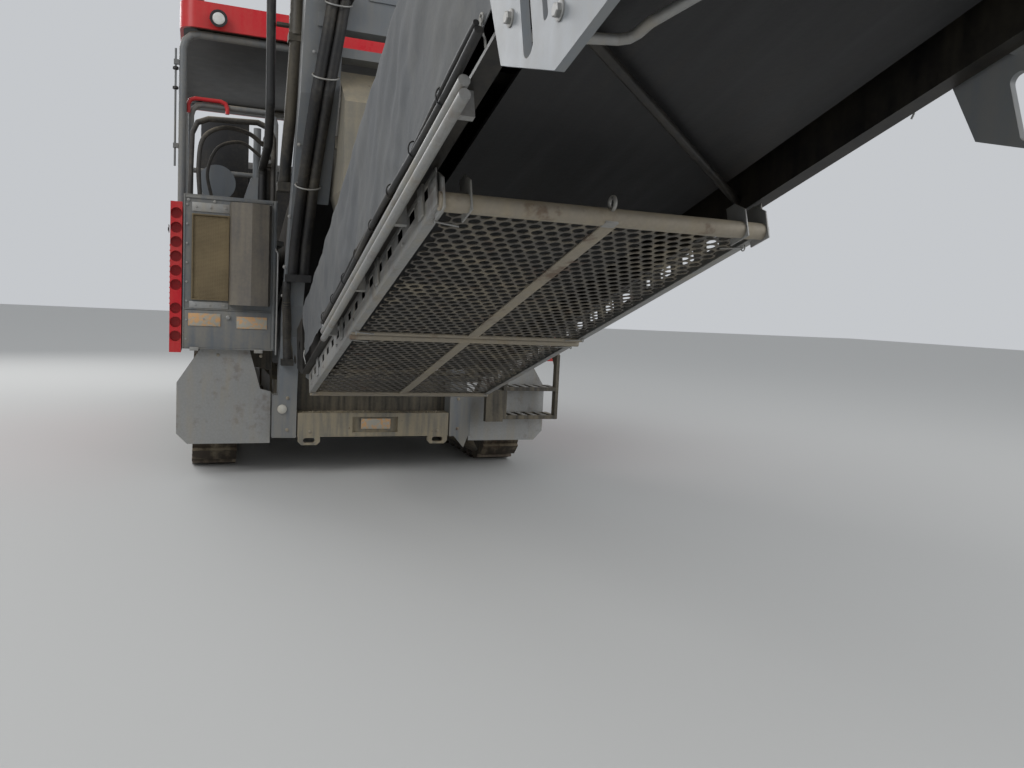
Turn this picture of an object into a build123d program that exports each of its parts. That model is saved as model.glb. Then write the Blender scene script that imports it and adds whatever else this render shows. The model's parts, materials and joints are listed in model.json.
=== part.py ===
from build123d import *

import math
import os

# Tracked material transfer vehicle with a slewing discharge conveyor.
# Millimetres. +X is forward (hopper end), +Y is the machine's left, +Z is up, Z = 0 is the ground.
# While building, X = 0 is the rear face of the rear cross beam; the finished nodes are moved along X
# so that the origin lies under the middle of the whole machine.

# Overall
MACHINE_HALF_WIDTH = 1490       # outer face of the red side panels
PIN_CLEARANCE = 0.8             # radial play of a pin in its eye
RUNNING_GAP = 8                 # between pieces that move past each other
SEAT_GAP = 0.3                  # between pieces of one body that touch

# Tracks
TRACK_CENTRE_Y = 1168
TRACK_WIDTH = 320
TRACK_REAR_X = 620              # rear idler centre
TRACK_FRONT_X = 3450            # front sprocket centre
TRACK_WHEEL_R = 315             # wheel that carries the chain
CHAIN_THICKNESS = 34
SHOE_LUG_HEIGHT = 26
SHOE_PITCH = 190
ARC_SHOE_DROP = 5               # keeps the shoes' corners inside the track's outer radius
ROLLER_R = 95
ROLLER_COUNT = 5
TOP_ROLLER_COUNT = 1
TRACK_BEAM_HALF_WIDTH = 70
TRACK_CARRIER_X = (1150, 2720)

# Chassis
RAIL_Y = (620, 760)
RAIL_Z = (420, 720)
RAIL_FRONT_X = 5850
UPRIGHT_DEPTH = 160
BEAM_Z = (303, 486)             # rear cross beam
BEAM_DEPTH = 100
BEAM_END_Y = 590
RECESS_HALF_WIDTH = 178
RECESS_Z = (336, 455)
RECESS_DEPTH = 30
TOW_EYE_Y = 503
TOW_EYE_DROP = 62               # below the beam
TOW_EYE_THICKNESS = 36
AXLE_TUBE_Z = 480
OUTRIGGER_X = (300, 1400, 2500, 3500)
CROSS_MEMBER_X = (260, 1400, 2700, 4000)
FRONT_BEAM_DEPTH = 60
FRONT_BEAM_HALF = 1180
FLOOR_PLATE_X = 1250

# Gantry that carries the discharge conveyor from above
GANTRY_OUTER_Y = 735
GANTRY_INNER_Y = 600
GANTRY_LEAN = 0.8               # degrees, inwards
GANTRY_TOP_Z = 3300
FOOT_Z = (300, 620)             # uprights at the rear beam's ends
CROWN_X = (-830, -690)
CROWN_Z = (3060, 3300)
TIE_X = (-790, -640)
TIE_Z = (2900, 2960)
HEAD_POST_R = 70                # the slewing head turns on it
HEAD_COLLAR_R = 120
LINER_INNER_Y = 490             # hose flange on the rear face of each leg
LEG_REAR_EDGE = ((0, 300), (0, 640), (-30, 1060), (-166, 1290), (-305, 1717), (-497, 2107),
                 (-740, 2660), (-840, 3200), (-840, GANTRY_TOP_Z))      # X and Z
MAST_SLEEVE_R = 36
MAST_SLEEVE_LINE = ((3225, 500, 62), (3040, 523, 62), (2660, 575, 49), (2107, 622, 45), (1717, 640, 45),
                    (1484, 645, 46))        # Z, Y and stand-off from the leg's rear edge, downwards
CLAMP_HALF_WIDTH = 85
AIR_HOSE_R = 29
AIR_HOSE_LINE = ((-250, 718, 1458.6), (-250, 718, 1420), (-228, 716, 1335), (-210, 712, 1287), (-152, 700, 1185),
                 (-80, 690, 1050), (-66, 684, 880))
TOP_HOSE_R = 30
TOP_HOSE_LINE = ((-560, 884, 3290), (-500, 872, 2620), (-300, 865, 2380), (150, 870, 2290))
MAST_CYLINDER_X = -604
MAST_CYLINDER_Y = 725
MAST_CYLINDER_R = (50, 46, 40)  # barrel, cap and tube
MAST_ARM_Z = (3000, 3050)
MAST_FOOT_Z = (2080, 2140)
TOWER_PIPE_X = (52, 100)
TOWER_PIPE_R = 16

# Slewing axis and discharge conveyor
SLEW_X = -620
SLEW_PIN_R = 50
SLEW_ARM_Z = (700, 795)
SLEW_ARM_HALF_WIDTH = 155
PIVOT_Z = 1030                  # luffing axis, above the slewing axis
BOOM_SLOPE = 17.3               # degrees at rest
BOOM_HALF_WIDTH = 660
SIDE_THICKNESS = 60
SIDE_V = (-218, 152)            # lower and upper edge of the side frames
TAIL_U = -150
TIP_U = 8400
HEAD_U = 8200
DRUM_R = 130
DRUM_SHAFT_R = 30
LUFF_PIN_R = 45                 # hollow, round the tail drum's shaft
BELT_THICKNESS = 12
BELT_HALF_WIDTH = BOOM_HALF_WIDTH - 160
CROSS_TUBE = 60
GUARD_V = -347
GUARD_U = (133, 3222)
GUARD_HALF_WIDTH = BOOM_HALF_WIDTH - 42
GUARD_THICKNESS = 6
GUARD_EDGE_HEIGHT = 122
GUARD_SLOT = (85, 42)            # along the edge and up
GUARD_SLOT_PITCH = 178
GUARD_SLOT_COUNT = 17
GUARD_BAR_R = (20, 18, 30)      # lower, middle and upper cross bar
GUARD_MIDDLE_U = 1630
GUARD_HANGER_U = (562, 1452, 2342, 3054)
GUARD_STRIP_HALF_WIDTH = 28
COVER_HALF_WIDTH = BOOM_HALF_WIDTH + 22
COVER_THICKNESS = 12
HEM_V = -180
COVER_START_U = 330
COVER_RIDGE = ((400, 170), (3000, 512), (7300, 512), (7900, 330))       # u and v
LUG_U = 4388
LUG_V = 299
BRACKET_THICKNESS = 20
LINES_U = (1300, LUG_U - 638)   # steel pipes along the left side frame
LINE_DROPS = (30, 68)           # below the side frame
LINE_R = 16
CROSSING_U = (3905, 4760)       # pipe across the conveyor, from its left side frame to its right one
CROSSING_BENDS = ((3957, 329), (4033, 317), (4600, 60))                 # u and Y
CROSSING_V = -206
CROSSING_R = 14
BRACE_U = (4050, 3105)          # at the left and the right side frame
BRACE_V = -172
BRACE_R = 16
BRACKET_SLOTS = ((-202, -360, 50, 190), (-112, -380, 22, 110), (150, -330, 50, 190))   # along, v, width, height
CRADLE_Y = (BOOM_HALF_WIDTH - SIDE_THICKNESS - 38, BOOM_HALF_WIDTH - SIDE_THICKNESS - 6)

# Suspension cylinders of the discharge conveyor
HEAD_PIN_X = -740
HEAD_PIN_Z = 3600
CYLINDER_Y = BOOM_HALF_WIDTH + 110
CYLINDER_R = 62
ROD_R = 35
CYLINDER_PIN_R = 30
BARREL_LENGTH = 2450
BARREL_NECK = 110               # from the pin to the barrel's base
EYE_R = 88
EYE_WIDTH = 60
OPEN_EYE_R = 58                 # the rod's eye is wide, it may drift round its pin

# Main conveyor
MAIN_TAIL = (5300, 620)
MAIN_HEAD = (-200, 2300)
MAIN_DRUM_R = 150
MAIN_BELT_HALF_WIDTH = 490
MAIN_SIDE_Y = (530, 560)
MAIN_COVER_V = 330              # underside of the closed cover, square to the belt
CHUTE_Z = (1640, 2050, 2860)
CHUTE_X = (-930, -374)
CHUTE_HALF_WIDTH = 452
CHUTE_EAR_X = (-640, -590)
CHUTE_EAR_Z = (2350, 2430)

# Rear bodies and operator's platform
BODY_Y = (770, MACHINE_HALF_WIDTH - 85)
BODY_Z = (950, 2040)
TOWER_FRONT_X = 800
LOWER_BODY_TOP = 1740
BODY_FRONT_X = 3600
WALL = 30
SIDE_PANEL_Z = (923, 1980)
SIDE_PANEL_THICKNESS = 78
PANEL_HOLE_R = 38
PANEL_HOLES_Z = (1038, 1137, 1236, 1400, 1500, 1600, 1700, 1800, 1900)
DOOR_X = (330, 1950)
DOOR_GAP = 10
SUPPORT_REACH_Y = BODY_Y[1] - 105       # of the brackets under the bodies
ENGINE_X = (900, 2150)
ENGINE_Y = (BODY_Y[0] + 70, BODY_Y[1] - 65)
ENGINE_TOP_Z = 1660
CORE_Y = (1108, BODY_Y[1] - 65)
CORE_Z = (1310, 1895)
CORE_RIM = 9
DUCT_Z = (1275, 2000)
CLEANER_X = (300, 620)
CLEANER_Y = BODY_Y[1] - 225
CLEANER_R = 130
BREATHER = (330, 900)           # X and Y
BREATHER_HEIGHT = 560
DOOR_HINGE_Z = (1120, 1760)
KNUCKLE = 45
HINGE_R = 10
HINGE_PIN_R = 5
PLATFORM_Z = (1770, 1810)
PLATFORM_X = (860, 3560)
PLATFORM_INNER_Y = 640
PLATFORM_LEG_X = (950, 2200, 3400)
SEAT_PLACE = (2050, MACHINE_HALF_WIDTH - 400)       # X and Y
CONSOLE_X = (3130, 3230, 3480)
CONSOLE_HALF_WIDTH = MACHINE_HALF_WIDTH - 240
BRIDGE_REAR_X = 2740            # cross passage in front of the conveyor's cover
RAIL_TOP_Z = 2850
GUARD_RAIL_X = 930
GUARD_RAIL_Y = (720, MACHINE_HALF_WIDTH - 120)
TUBE_R = 22
GRAB_BAR_R = 16
ROOF_X = (770, 3900)
ROOF_HALF_WIDTH = MACHINE_HALF_WIDTH - 30
ROOF_Z = (3400, 3600)
FASCIA = 25
HOOP_R = 30
HOOP_X = (860, BODY_FRONT_X - 120)
MARKER_R = 8
MARKER_Z = (2340, 3240)
MARKER_CLIP_Z = (2480, 3120)
WORK_LAMP_Y = (1180, 480, -480, -1180)

# Rear mudflaps and ladder
MUDFLAP_Y = (785, MACHINE_HALF_WIDTH - 50)
MUDFLAP_Z = (250, 945)
MUDFLAP_THICKNESS = 12
MUDFLAP_X = 70
LADDER_Y = (990, MACHINE_HALF_WIDTH - 25)
STEP_Z = (490, 720)
STEP_DEPTH = 230

# Hopper
HOPPER_X = (3950, 5750)
TUB_Z = RAIL_Z[1] + SEAT_GAP
TUB_INNER_Y = MAIN_SIDE_Y[1] + SEAT_GAP
TROUGH_Y = 530
WING_HINGE_Y = 800
WING_HINGE_Z = 800
WING_FLOOR = 620
WING_WALL = 620
WING_ANGLES = (52, 108)         # floor and wall above the horizontal, wings folded up
WING_THICKNESS = 16
WING_CYLINDER_X = 4900
WING_RIB_X = (4150, 4640, 5130, 5620)
WING_BASE = (950, 340)          # lower pin, Y and Z
WING_EYE = (1060, 1050)         # upper pin, Y and Z
WING_PIN_R = 18
WING_EYE_PIN_R = 14
WING_HINGE_PIN_R = 16
WING_KNUCKLE_R = 34
WING_BARREL_R = 45
WING_BARREL_LENGTH = 430
WING_ROD_R = 23
WING_ROD_LENGTH = 452
FLAP_HINGE_X = 5842
FLAP_PIN_R = 16
FRONT_BEAM_Z = (330, 620)
FLAP_HEIGHT = 350
PUSH_PIN_X = 6000
PUSH_PIN_R = 25
PUSH_SHAFT_R = 25
PUSH_BEAM_Z = (430, 610)
PUSH_LUG_R = 48
PUSH_LUG_Z = (545, 585)
PUSH_BEAM_DEPTH = (62, 102)     # in front of the pin
PUSH_BEAM_HALF = 950
PUSH_ROLLER_R = 110
PUSH_ROLLER_X = 6220
PUSH_ROLLER_Z = 520
PUSH_ROLLER_Y = (180, 850)

FRONT_X = PUSH_ROLLER_X + PUSH_ROLLER_R


def boom_point(u, v):
    """Place of a point of the discharge conveyor, u along it and v square to it, as (X, Z)."""
    slope = math.radians(BOOM_SLOPE)
    x = SLEW_X - u * math.cos(slope) + v * math.sin(slope)
    z = PIVOT_Z + u * math.sin(slope) + v * math.cos(slope)
    return x, z


TIP_HOOD_R = 260
REAR_X = boom_point(HEAD_U, 0)[0] - TIP_HOOD_R
MIDDLE_X = (FRONT_X + REAR_X) / 2


def block(x, y, z):
    """Box between the low and high values given for each axis."""
    size = [high - low for low, high in (x, y, z)]
    middle = [(high + low) / 2 for low, high in (x, y, z)]
    return Pos(*middle) * Box(*size)


def side_plate(outline, y):
    """Plate with an outline of (X, Z) points, between two values of Y."""
    face = Plane.XZ * Polygon(*outline, align=None)
    return Pos(0, y[0], 0) * extrude(face, y[1] - y[0], dir=(0, 1, 0))


def cross_plate(outline, x):
    """Plate with an outline of (Y, Z) points, between two values of X."""
    face = Plane.YZ * Polygon(*outline, align=None)
    return Pos(x[0], 0, 0) * extrude(face, x[1] - x[0], dir=(1, 0, 0))


def level_plate(outline, z):
    """Plate with an outline of (X, Y) points, between two values of Z."""
    face = Polygon(*outline, align=None)
    return Pos(0, 0, z[0]) * extrude(face, z[1] - z[0], dir=(0, 0, 1))


def rod(start, end, radius, bore=0):
    """Round bar between two points, hollow when a bore radius is given."""
    axis = Vector(*end) - Vector(*start)
    centred = (Align.CENTER, Align.CENTER, Align.MIN)
    bar = Cylinder(radius, axis.length, align=centred)
    if bore:
        bar = bar - Cylinder(bore, axis.length, align=centred)
    return Plane(origin=start, z_dir=axis) * bar


def bent_tube(points, radius, bend, chords=3):
    """Round tube along a line of points; each corner is rounded by a few short straight stretches."""
    corners = [Vector(*point) for point in points]
    line = [corners[0]]
    for before, corner, after in zip(corners, corners[1:], corners[2:]):
        back, on = (before - corner).normalized(), (after - corner).normalized()
        turn = math.pi - math.acos(max(-1, min(1, back.dot(on))))
        reach = bend * math.tan(turn / 2)
        centre = corner + (back + on).normalized() * (bend / math.cos(turn / 2))
        start, end = corner + back * reach - centre, corner + on * reach - centre
        for step in range(chords + 1):
            share = step / chords
            weights = [math.sin((1 - share) * turn) / math.sin(turn), math.sin(share * turn) / math.sin(turn)]
            line.append(centre + start * weights[0] + end * weights[1])
    line.append(corners[-1])
    path = Polyline(*line)
    return sweep(Plane(origin=path @ 0, z_dir=path % 0) * Circle(radius), path=path, transition=Transition.RIGHT)


def mirrored(part):
    """The same piece on the machine's other side."""
    return mirror(part, about=Plane.XZ)


def both_sides(part):
    """A piece and its mirror image."""
    return [part, mirrored(part)]


def on_boom(part):
    """Turn a piece drawn with the conveyor level (tip at -X, pivot at the origin) to its rest slope."""
    return Pos(SLEW_X, 0, PIVOT_Z) * Rot(0, BOOM_SLOPE, 0) * part


def joined(parts):
    """One compound of several solids, fused where they touch."""
    whole = parts[0]
    for part in parts[1:]:
        whole = whole + part
    return whole


def track(side):
    """One endless track with its shoes in its outline."""
    y = side * TRACK_CENTRE_Y
    radius = TRACK_WHEEL_R + CHAIN_THICKNESS
    axle_z = radius + SHOE_LUG_HEIGHT
    length = TRACK_FRONT_X - TRACK_REAR_X
    middle = (TRACK_FRONT_X + TRACK_REAR_X) / 2
    outer = SlotCenterToCenter(length, 2 * radius)
    inner = SlotCenterToCenter(length, 2 * TRACK_WHEEL_R)
    loop = Pos(middle, y + TRACK_WIDTH / 2, axle_z) * extrude(Plane.XZ * (outer - inner), TRACK_WIDTH)
    shoe = Box(SHOE_PITCH * 0.62, TRACK_WIDTH, SHOE_LUG_HEIGHT + 8)
    shoe_middle = radius + (SHOE_LUG_HEIGHT - 8) / 2
    straight = round(length / SHOE_PITCH)
    pitch = length / straight
    for step in range(straight):
        x = TRACK_REAR_X + (step + 0.5) * pitch
        loop += Pos(x, y, axle_z - shoe_middle) * shoe
        loop += Pos(x, y, axle_z + shoe_middle) * shoe
    turns = round(math.pi * radius / SHOE_PITCH)
    for step in range(turns):
        angle = (step + 0.5) * 180 / turns
        for x, start in ((TRACK_REAR_X, 180), (TRACK_FRONT_X, 0)):
            loop += Pos(x, y, axle_z) * Rot(0, start + angle, 0) * Pos(0, 0, shoe_middle - ARC_SHOE_DROP) * shoe
    return loop


def track_frame(side):
    """Beam, end wheels and rollers inside one track."""
    y = side * TRACK_CENTRE_Y
    axle_z = TRACK_WHEEL_R + CHAIN_THICKNESS + SHOE_LUG_HEIGHT
    wheel_r = TRACK_WHEEL_R - SEAT_GAP
    beam_y = (y - TRACK_BEAM_HALF_WIDTH, y + TRACK_BEAM_HALF_WIDTH)
    frame = block((TRACK_REAR_X, TRACK_FRONT_X), beam_y, (axle_z - 110, axle_z + 120))
    wheel_half = 85
    for x in (TRACK_REAR_X, TRACK_FRONT_X):
        frame += rod((x, y - wheel_half, axle_z), (x, y + wheel_half, axle_z), wheel_r)
        frame += rod((x, y, axle_z), (x, y + side * (wheel_half + 25), axle_z), 110)
    run = TRACK_FRONT_X - TRACK_REAR_X - 2 * TRACK_WHEEL_R - 60
    for count, z in (
        (ROLLER_COUNT, axle_z - wheel_r + ROLLER_R),
        (TOP_ROLLER_COUNT, axle_z + wheel_r - ROLLER_R),
    ):
        for step in range(count):
            x = TRACK_REAR_X + TRACK_WHEEL_R + 30 + run * (step + 0.5) / count
            frame += rod((x, y - wheel_half, z), (x, y + wheel_half, z), ROLLER_R)
    return frame


def chassis_frame():
    """Two long rails with cross members, the floor plate and the arm that holds the slewing pin."""
    rail = block((UPRIGHT_DEPTH, RAIL_FRONT_X - FRONT_BEAM_DEPTH - SEAT_GAP), RAIL_Y, RAIL_Z)
    parts = both_sides(rail)
    for x in CROSS_MEMBER_X:
        parts.append(block((x, x + 140), (-RAIL_Y[0], RAIL_Y[0]), (RAIL_Z[0], RAIL_Z[0] + 110)))
    floor_y = GANTRY_INNER_Y - SEAT_GAP
    parts.append(block((BEAM_DEPTH + SEAT_GAP, FLOOR_PLATE_X), (-floor_y, floor_y), (474, 486)))
    arm_root = CROSS_MEMBER_X[0]
    parts.append(block((SLEW_X, arm_root), (-SLEW_ARM_HALF_WIDTH, SLEW_ARM_HALF_WIDTH), SLEW_ARM_Z))
    parts.append(rod((SLEW_X, 0, SLEW_ARM_Z[0]), (SLEW_X, 0, SLEW_ARM_Z[1]), SLEW_ARM_HALF_WIDTH))
    parts.append(block((180, arm_root + 140), (-RAIL_Y[0], RAIL_Y[0]), (480, SLEW_ARM_Z[1])))
    whole = joined(parts)
    return whole - rod((SLEW_X, 0, SLEW_ARM_Z[0] - 1), (SLEW_X, 0, SLEW_ARM_Z[1] + 1), SLEW_PIN_R + PIN_CLEARANCE)


def front_beam():
    """Front cross beam with the lug that the push beam swivels on."""
    beam = block((RAIL_FRONT_X - FRONT_BEAM_DEPTH, RAIL_FRONT_X), (-FRONT_BEAM_HALF, FRONT_BEAM_HALF), FRONT_BEAM_Z)
    lug = block((RAIL_FRONT_X - 10, PUSH_PIN_X), (-PUSH_LUG_R, PUSH_LUG_R), PUSH_LUG_Z)
    lug += rod((PUSH_PIN_X, 0, PUSH_LUG_Z[0]), (PUSH_PIN_X, 0, PUSH_LUG_Z[1]), PUSH_LUG_R)
    lug -= rod((PUSH_PIN_X, 0, PUSH_LUG_Z[0] - 1), (PUSH_PIN_X, 0, PUSH_LUG_Z[1] + 1), PUSH_PIN_R + PIN_CLEARANCE)
    return beam + lug


def outriggers():
    """Brackets on the rails: track carriers, body supports and the lower ears of the wing cylinders."""
    rail_face = RAIL_Y[1] + SEAT_GAP
    track_gap = TRACK_CENTRE_Y - TRACK_BEAM_HALF_WIDTH - SEAT_GAP
    parts = []
    for x in TRACK_CARRIER_X:
        parts.append(block((x, x + 180), (rail_face, track_gap), (AXLE_TUBE_Z - 80, AXLE_TUBE_Z + 80)))
    top = BODY_Z[0] - SEAT_GAP
    for x in OUTRIGGER_X:
        parts.append(cross_plate([(rail_face, RAIL_Z[1] - 200), (rail_face, top), (SUPPORT_REACH_Y, top),
                                  (SUPPORT_REACH_Y, top - 50), (rail_face + 15, RAIL_Z[1] + 60),
                                  (rail_face + 15, RAIL_Z[1] - 200)], (x, x + 16)))
    base_y, base_z = WING_BASE
    ear_half = 40
    for x in (WING_CYLINDER_X - 74, WING_CYLINDER_X + 50):
        ear = cross_plate([(rail_face, RAIL_Z[0]), (rail_face, RAIL_Z[0] + 120), (base_y + ear_half, base_z + ear_half),
                           (base_y + ear_half, base_z - ear_half), (base_y - ear_half, base_z - ear_half)], (x, x + 24))
        parts.append(ear)
    pin = rod((WING_CYLINDER_X - 74, base_y, base_z), (WING_CYLINDER_X + 74, base_y, base_z), WING_PIN_R)
    ears = parts.pop() + parts.pop() + pin
    parts.append(ears)
    return parts + [mirrored(part) for part in parts]


def rear_beam():
    """Rear cross beam with its recess and two towing eyes."""
    beam = block((0, BEAM_DEPTH), (-BEAM_END_Y, BEAM_END_Y), BEAM_Z)
    beam -= block((-1, RECESS_DEPTH), (-RECESS_HALF_WIDTH, RECESS_HALF_WIDTH), RECESS_Z)
    for side in (1, -1):
        y = side * TOW_EYE_Y
        bottom = BEAM_Z[0] - TOW_EYE_DROP
        eye = cross_plate(
            [(y - 82, BEAM_Z[0] + 20), (y + 82, BEAM_Z[0] + 20), (y + 82, bottom + 25),
             (y + 57, bottom), (y - 57, bottom), (y - 82, bottom + 25)],
            (0, TOW_EYE_THICKNESS))
        beam += eye
        slot = Plane.YZ * Pos(y, bottom + 36) * SlotCenterToCenter(50, 38)
        beam -= Pos(-1, 0, 0) * extrude(slot, TOW_EYE_THICKNESS + 2)
    return beam


def leg_outline(offset, depth):
    """Side view of a gantry leg as (X, Z): the rear edge, then back down the front edge."""
    rear = [(x + offset, z) for x, z in LEG_REAR_EDGE]
    front = [(x + offset + depth, z) for x, z in reversed(LEG_REAR_EDGE)]
    return rear + front


def gantry():
    """Two leaning legs from the rear beam's ends, joined by a crown and a tie."""
    leg = side_plate(leg_outline(0, UPRIGHT_DEPTH - SEAT_GAP), (GANTRY_INNER_Y, GANTRY_OUTER_Y))
    upper = leg_outline(0, 26)
    flange = side_plate(upper, (LINER_INNER_Y, GANTRY_INNER_Y + 5))
    flange &= block((-2000, 500), (0, 2000), (2000, GANTRY_TOP_Z))
    leg += flange
    hinge = Axis((0, GANTRY_OUTER_Y, FOOT_Z[1]), (1, 0, 0))
    leg = leg.rotate(hinge, GANTRY_LEAN)
    foot = block((0, UPRIGHT_DEPTH - SEAT_GAP), (GANTRY_INNER_Y, GANTRY_OUTER_Y + 40), FOOT_Z)
    leg += foot
    parts = both_sides(leg)
    gusset_top = FOOT_Z[0] + 2
    gusset = cross_plate([(-GANTRY_OUTER_Y - 25, gusset_top), (-GANTRY_INNER_Y - 40, gusset_top),
                          (11 - GANTRY_OUTER_Y, gusset_top - 97)], (0, 20))
    parts.append(gusset)
    crown_half = GANTRY_INNER_Y + 20
    parts.append(block(CROWN_X, (-crown_half, crown_half), CROWN_Z))
    parts.append(block(TIE_X, (-crown_half, crown_half), TIE_Z))
    top_rear = LEG_REAR_EDGE[-1][0]
    parts.append(block((top_rear, 2 * SLEW_X - top_rear - 40), (-300, 300), (GANTRY_TOP_Z - 40, GANTRY_TOP_Z)))
    parts.append(rod((SLEW_X, 0, GANTRY_TOP_Z - 5), (SLEW_X, 0, HEAD_PIN_Z + 90), HEAD_POST_R))
    parts.append(rod((SLEW_X, 0, GANTRY_TOP_Z - 5), (SLEW_X, 0, GANTRY_TOP_Z + 60), HEAD_COLLAR_R))
    return joined(parts)


def leg_rear_x(z):
    """Rear face of the gantry's legs at a height."""
    for (x0, z0), (x1, z1) in zip(LEG_REAR_EDGE, LEG_REAR_EDGE[1:]):
        if z0 <= z <= z1:
            return x0 + (x1 - x0) * (z - z0) / (z1 - z0)
    return LEG_REAR_EDGE[-1][0]


def hose_clamp(x, y, z):
    """Block round both sleeves, on the rear face of the left leg."""
    return block(x, (y - CLAMP_HALF_WIDTH, y + CLAMP_HALF_WIDTH), z)


def mast_hoses():
    """Sleeved hose bundles down the left leg's rear face, the air hose from their clamp, and the top hose."""
    bundle = []
    for shift in (MAST_SLEEVE_R + 1, -MAST_SLEEVE_R - 1):
        line = [(leg_rear_x(z) - stand_off, y + shift, z) for z, y, stand_off in MAST_SLEEVE_LINE]
        bundle.append(bent_tube(line, MAST_SLEEVE_R, 150, 1))
    top_z, top_y, _ = MAST_SLEEVE_LINE[0]
    top_x = leg_rear_x(top_z)
    bundle.append(hose_clamp((top_x - 100, top_x - SEAT_GAP), top_y, (top_z - 12, top_z + 50)))
    clamp_z, clamp_y, _ = MAST_SLEEVE_LINE[-1]
    clamp_x = leg_rear_x(clamp_z + 25)
    bundle.append(hose_clamp((clamp_x - 105, clamp_x - 2), clamp_y, (clamp_z - 25, clamp_z + 25)))
    air_hose = bent_tube(AIR_HOSE_LINE, AIR_HOSE_R, 40, 1)
    foot_x, foot_y, foot_z = AIR_HOSE_LINE[-1]
    foot_front = leg_rear_x(foot_z + 15) - SEAT_GAP
    air_hose += block((foot_x - 42, foot_front), (foot_y - 43, foot_y + 43), (foot_z - 30, foot_z + 15))
    end = (*TOP_HOSE_LINE[-1][:2], BODY_Z[1] + SEAT_GAP)
    return [joined(bundle), air_hose, bent_tube([*TOP_HOSE_LINE, end], TOP_HOSE_R, 60, 2)]


def mast_cylinder():
    """Hydraulic cylinder beside the left leg, with its pale cap and the arms that hold it."""
    x, y = MAST_CYLINDER_X, MAST_CYLINDER_Y
    barrel_r, cap_r, tube_r = MAST_CYLINDER_R
    arm_low, arm_top = MAST_ARM_Z
    barrel = rod((x, y, arm_low + 42), (x, y, arm_top + 120), barrel_r)
    cap = rod((x, y, arm_top + 100), (x, y, GANTRY_TOP_Z), cap_r)
    arm = block((leg_rear_x(arm_low) + UPRIGHT_DEPTH, x + 54), (660, y + 53), MAST_ARM_Z)
    tube = bent_tube([(x, y + 3, arm_low + 20), (-475, 742, 2540), (-255, 755, MAST_FOOT_Z[0] + 20)], tube_r, 120, 1)
    foot = block((leg_rear_x(MAST_FOOT_Z[0]) + UPRIGHT_DEPTH, -200), (690, 800), MAST_FOOT_Z)
    hose_arm = block((x + 14, x + 64), (y + 25, y + 124), (arm_top + 50, arm_top + 68))
    return joined([barrel, cap, arm, tube, foot, hose_arm])


def tower_pipes():
    """Two bent pipes that arch over the left tower, both ends in its top plate."""
    top = BODY_Z[1] + 1
    outer_y, inner_y = BODY_Y[1] - 40, BODY_Y[0] + 30
    return [bent_tube([(x, outer_y, top), (x, outer_y - 15, 2575), (x, inner_y, 2600), (x, inner_y, top)],
                      TOWER_PIPE_R, 110, 2) for x in TOWER_PIPE_X]


def conveyor_frame_point(u, v):
    """Place of a point of the main conveyor, u from its tail towards its head, as (X, Z)."""
    dx = MAIN_HEAD[0] - MAIN_TAIL[0]
    dz = MAIN_HEAD[1] - MAIN_TAIL[1]
    length = math.hypot(dx, dz)
    along = (dx / length, dz / length)
    return (MAIN_TAIL[0] + u * along[0] + v * along[1], MAIN_TAIL[1] + u * along[1] - v * along[0])


MAIN_LENGTH = math.hypot(MAIN_HEAD[0] - MAIN_TAIL[0], MAIN_HEAD[1] - MAIN_TAIL[1])


def main_conveyor_frame():
    """Side plates of the main conveyor, its cross tubes and the closed cover over its rear part."""
    length = MAIN_LENGTH
    outline = [(-180, -210), (length + 60, -210), (length + 160, -60), (length + 160, MAIN_COVER_V),
               (1650, MAIN_COVER_V), (1400, 120), (-180, 120)]
    plate = side_plate([conveyor_frame_point(u, v) for u, v in outline], MAIN_SIDE_Y)
    for x, z in (MAIN_TAIL, MAIN_HEAD):
        plate -= rod((x, MAIN_SIDE_Y[0] - 1, z), (x, MAIN_SIDE_Y[1] + 1, z), DRUM_SHAFT_R + PIN_CLEARANCE)
    parts = both_sides(plate)
    lid_top = MAIN_COVER_V + 12
    lid = [(1650, MAIN_COVER_V), (length + 160, MAIN_COVER_V), (length + 160, lid_top), (1650, lid_top)]
    lid_half = MAIN_SIDE_Y[1]
    parts.append(side_plate([conveyor_frame_point(u, v) for u, v in lid], (-lid_half, lid_half)))
    for u in range(600, int(length), 1200):
        x, z = conveyor_frame_point(u, 0)
        parts.append(rod((x, -MAIN_SIDE_Y[0] - 2, z), (x, MAIN_SIDE_Y[0] + 2, z), 38))
    return joined(parts)


def belt_loop(length, drum_r, half_width):
    """Endless belt round two drums, drawn along +X from the first drum's axis."""
    outer = SlotCenterToCenter(length, 2 * (drum_r + BELT_THICKNESS))
    inner = SlotCenterToCenter(length, 2 * drum_r)
    return Pos(length / 2, half_width, 0) * extrude(Plane.XZ * (outer - inner), 2 * half_width)


def drum(u, half_width, radius, shaft_half):
    """Belt drum with its shaft, drawn along Y at the place u."""
    shell = rod((u, -half_width, 0), (u, half_width, 0), radius - SEAT_GAP)
    return shell + rod((u, -shaft_half, 0), (u, shaft_half, 0), DRUM_SHAFT_R)


def main_conveyor_belt():
    """Belt of the main conveyor with its two drums."""
    slope = math.degrees(math.atan2(MAIN_HEAD[1] - MAIN_TAIL[1], MAIN_TAIL[0] - MAIN_HEAD[0]))
    belt = belt_loop(MAIN_LENGTH, MAIN_DRUM_R, MAIN_BELT_HALF_WIDTH)
    drums = [drum(u, MAIN_BELT_HALF_WIDTH + 25, MAIN_DRUM_R, MAIN_SIDE_Y[1] + 15) for u in (0, MAIN_LENGTH)]
    place = Pos(MAIN_HEAD[0], 0, MAIN_HEAD[1]) * Rot(0, slope, 0)
    return [place * piece for piece in [belt] + drums]


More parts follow.
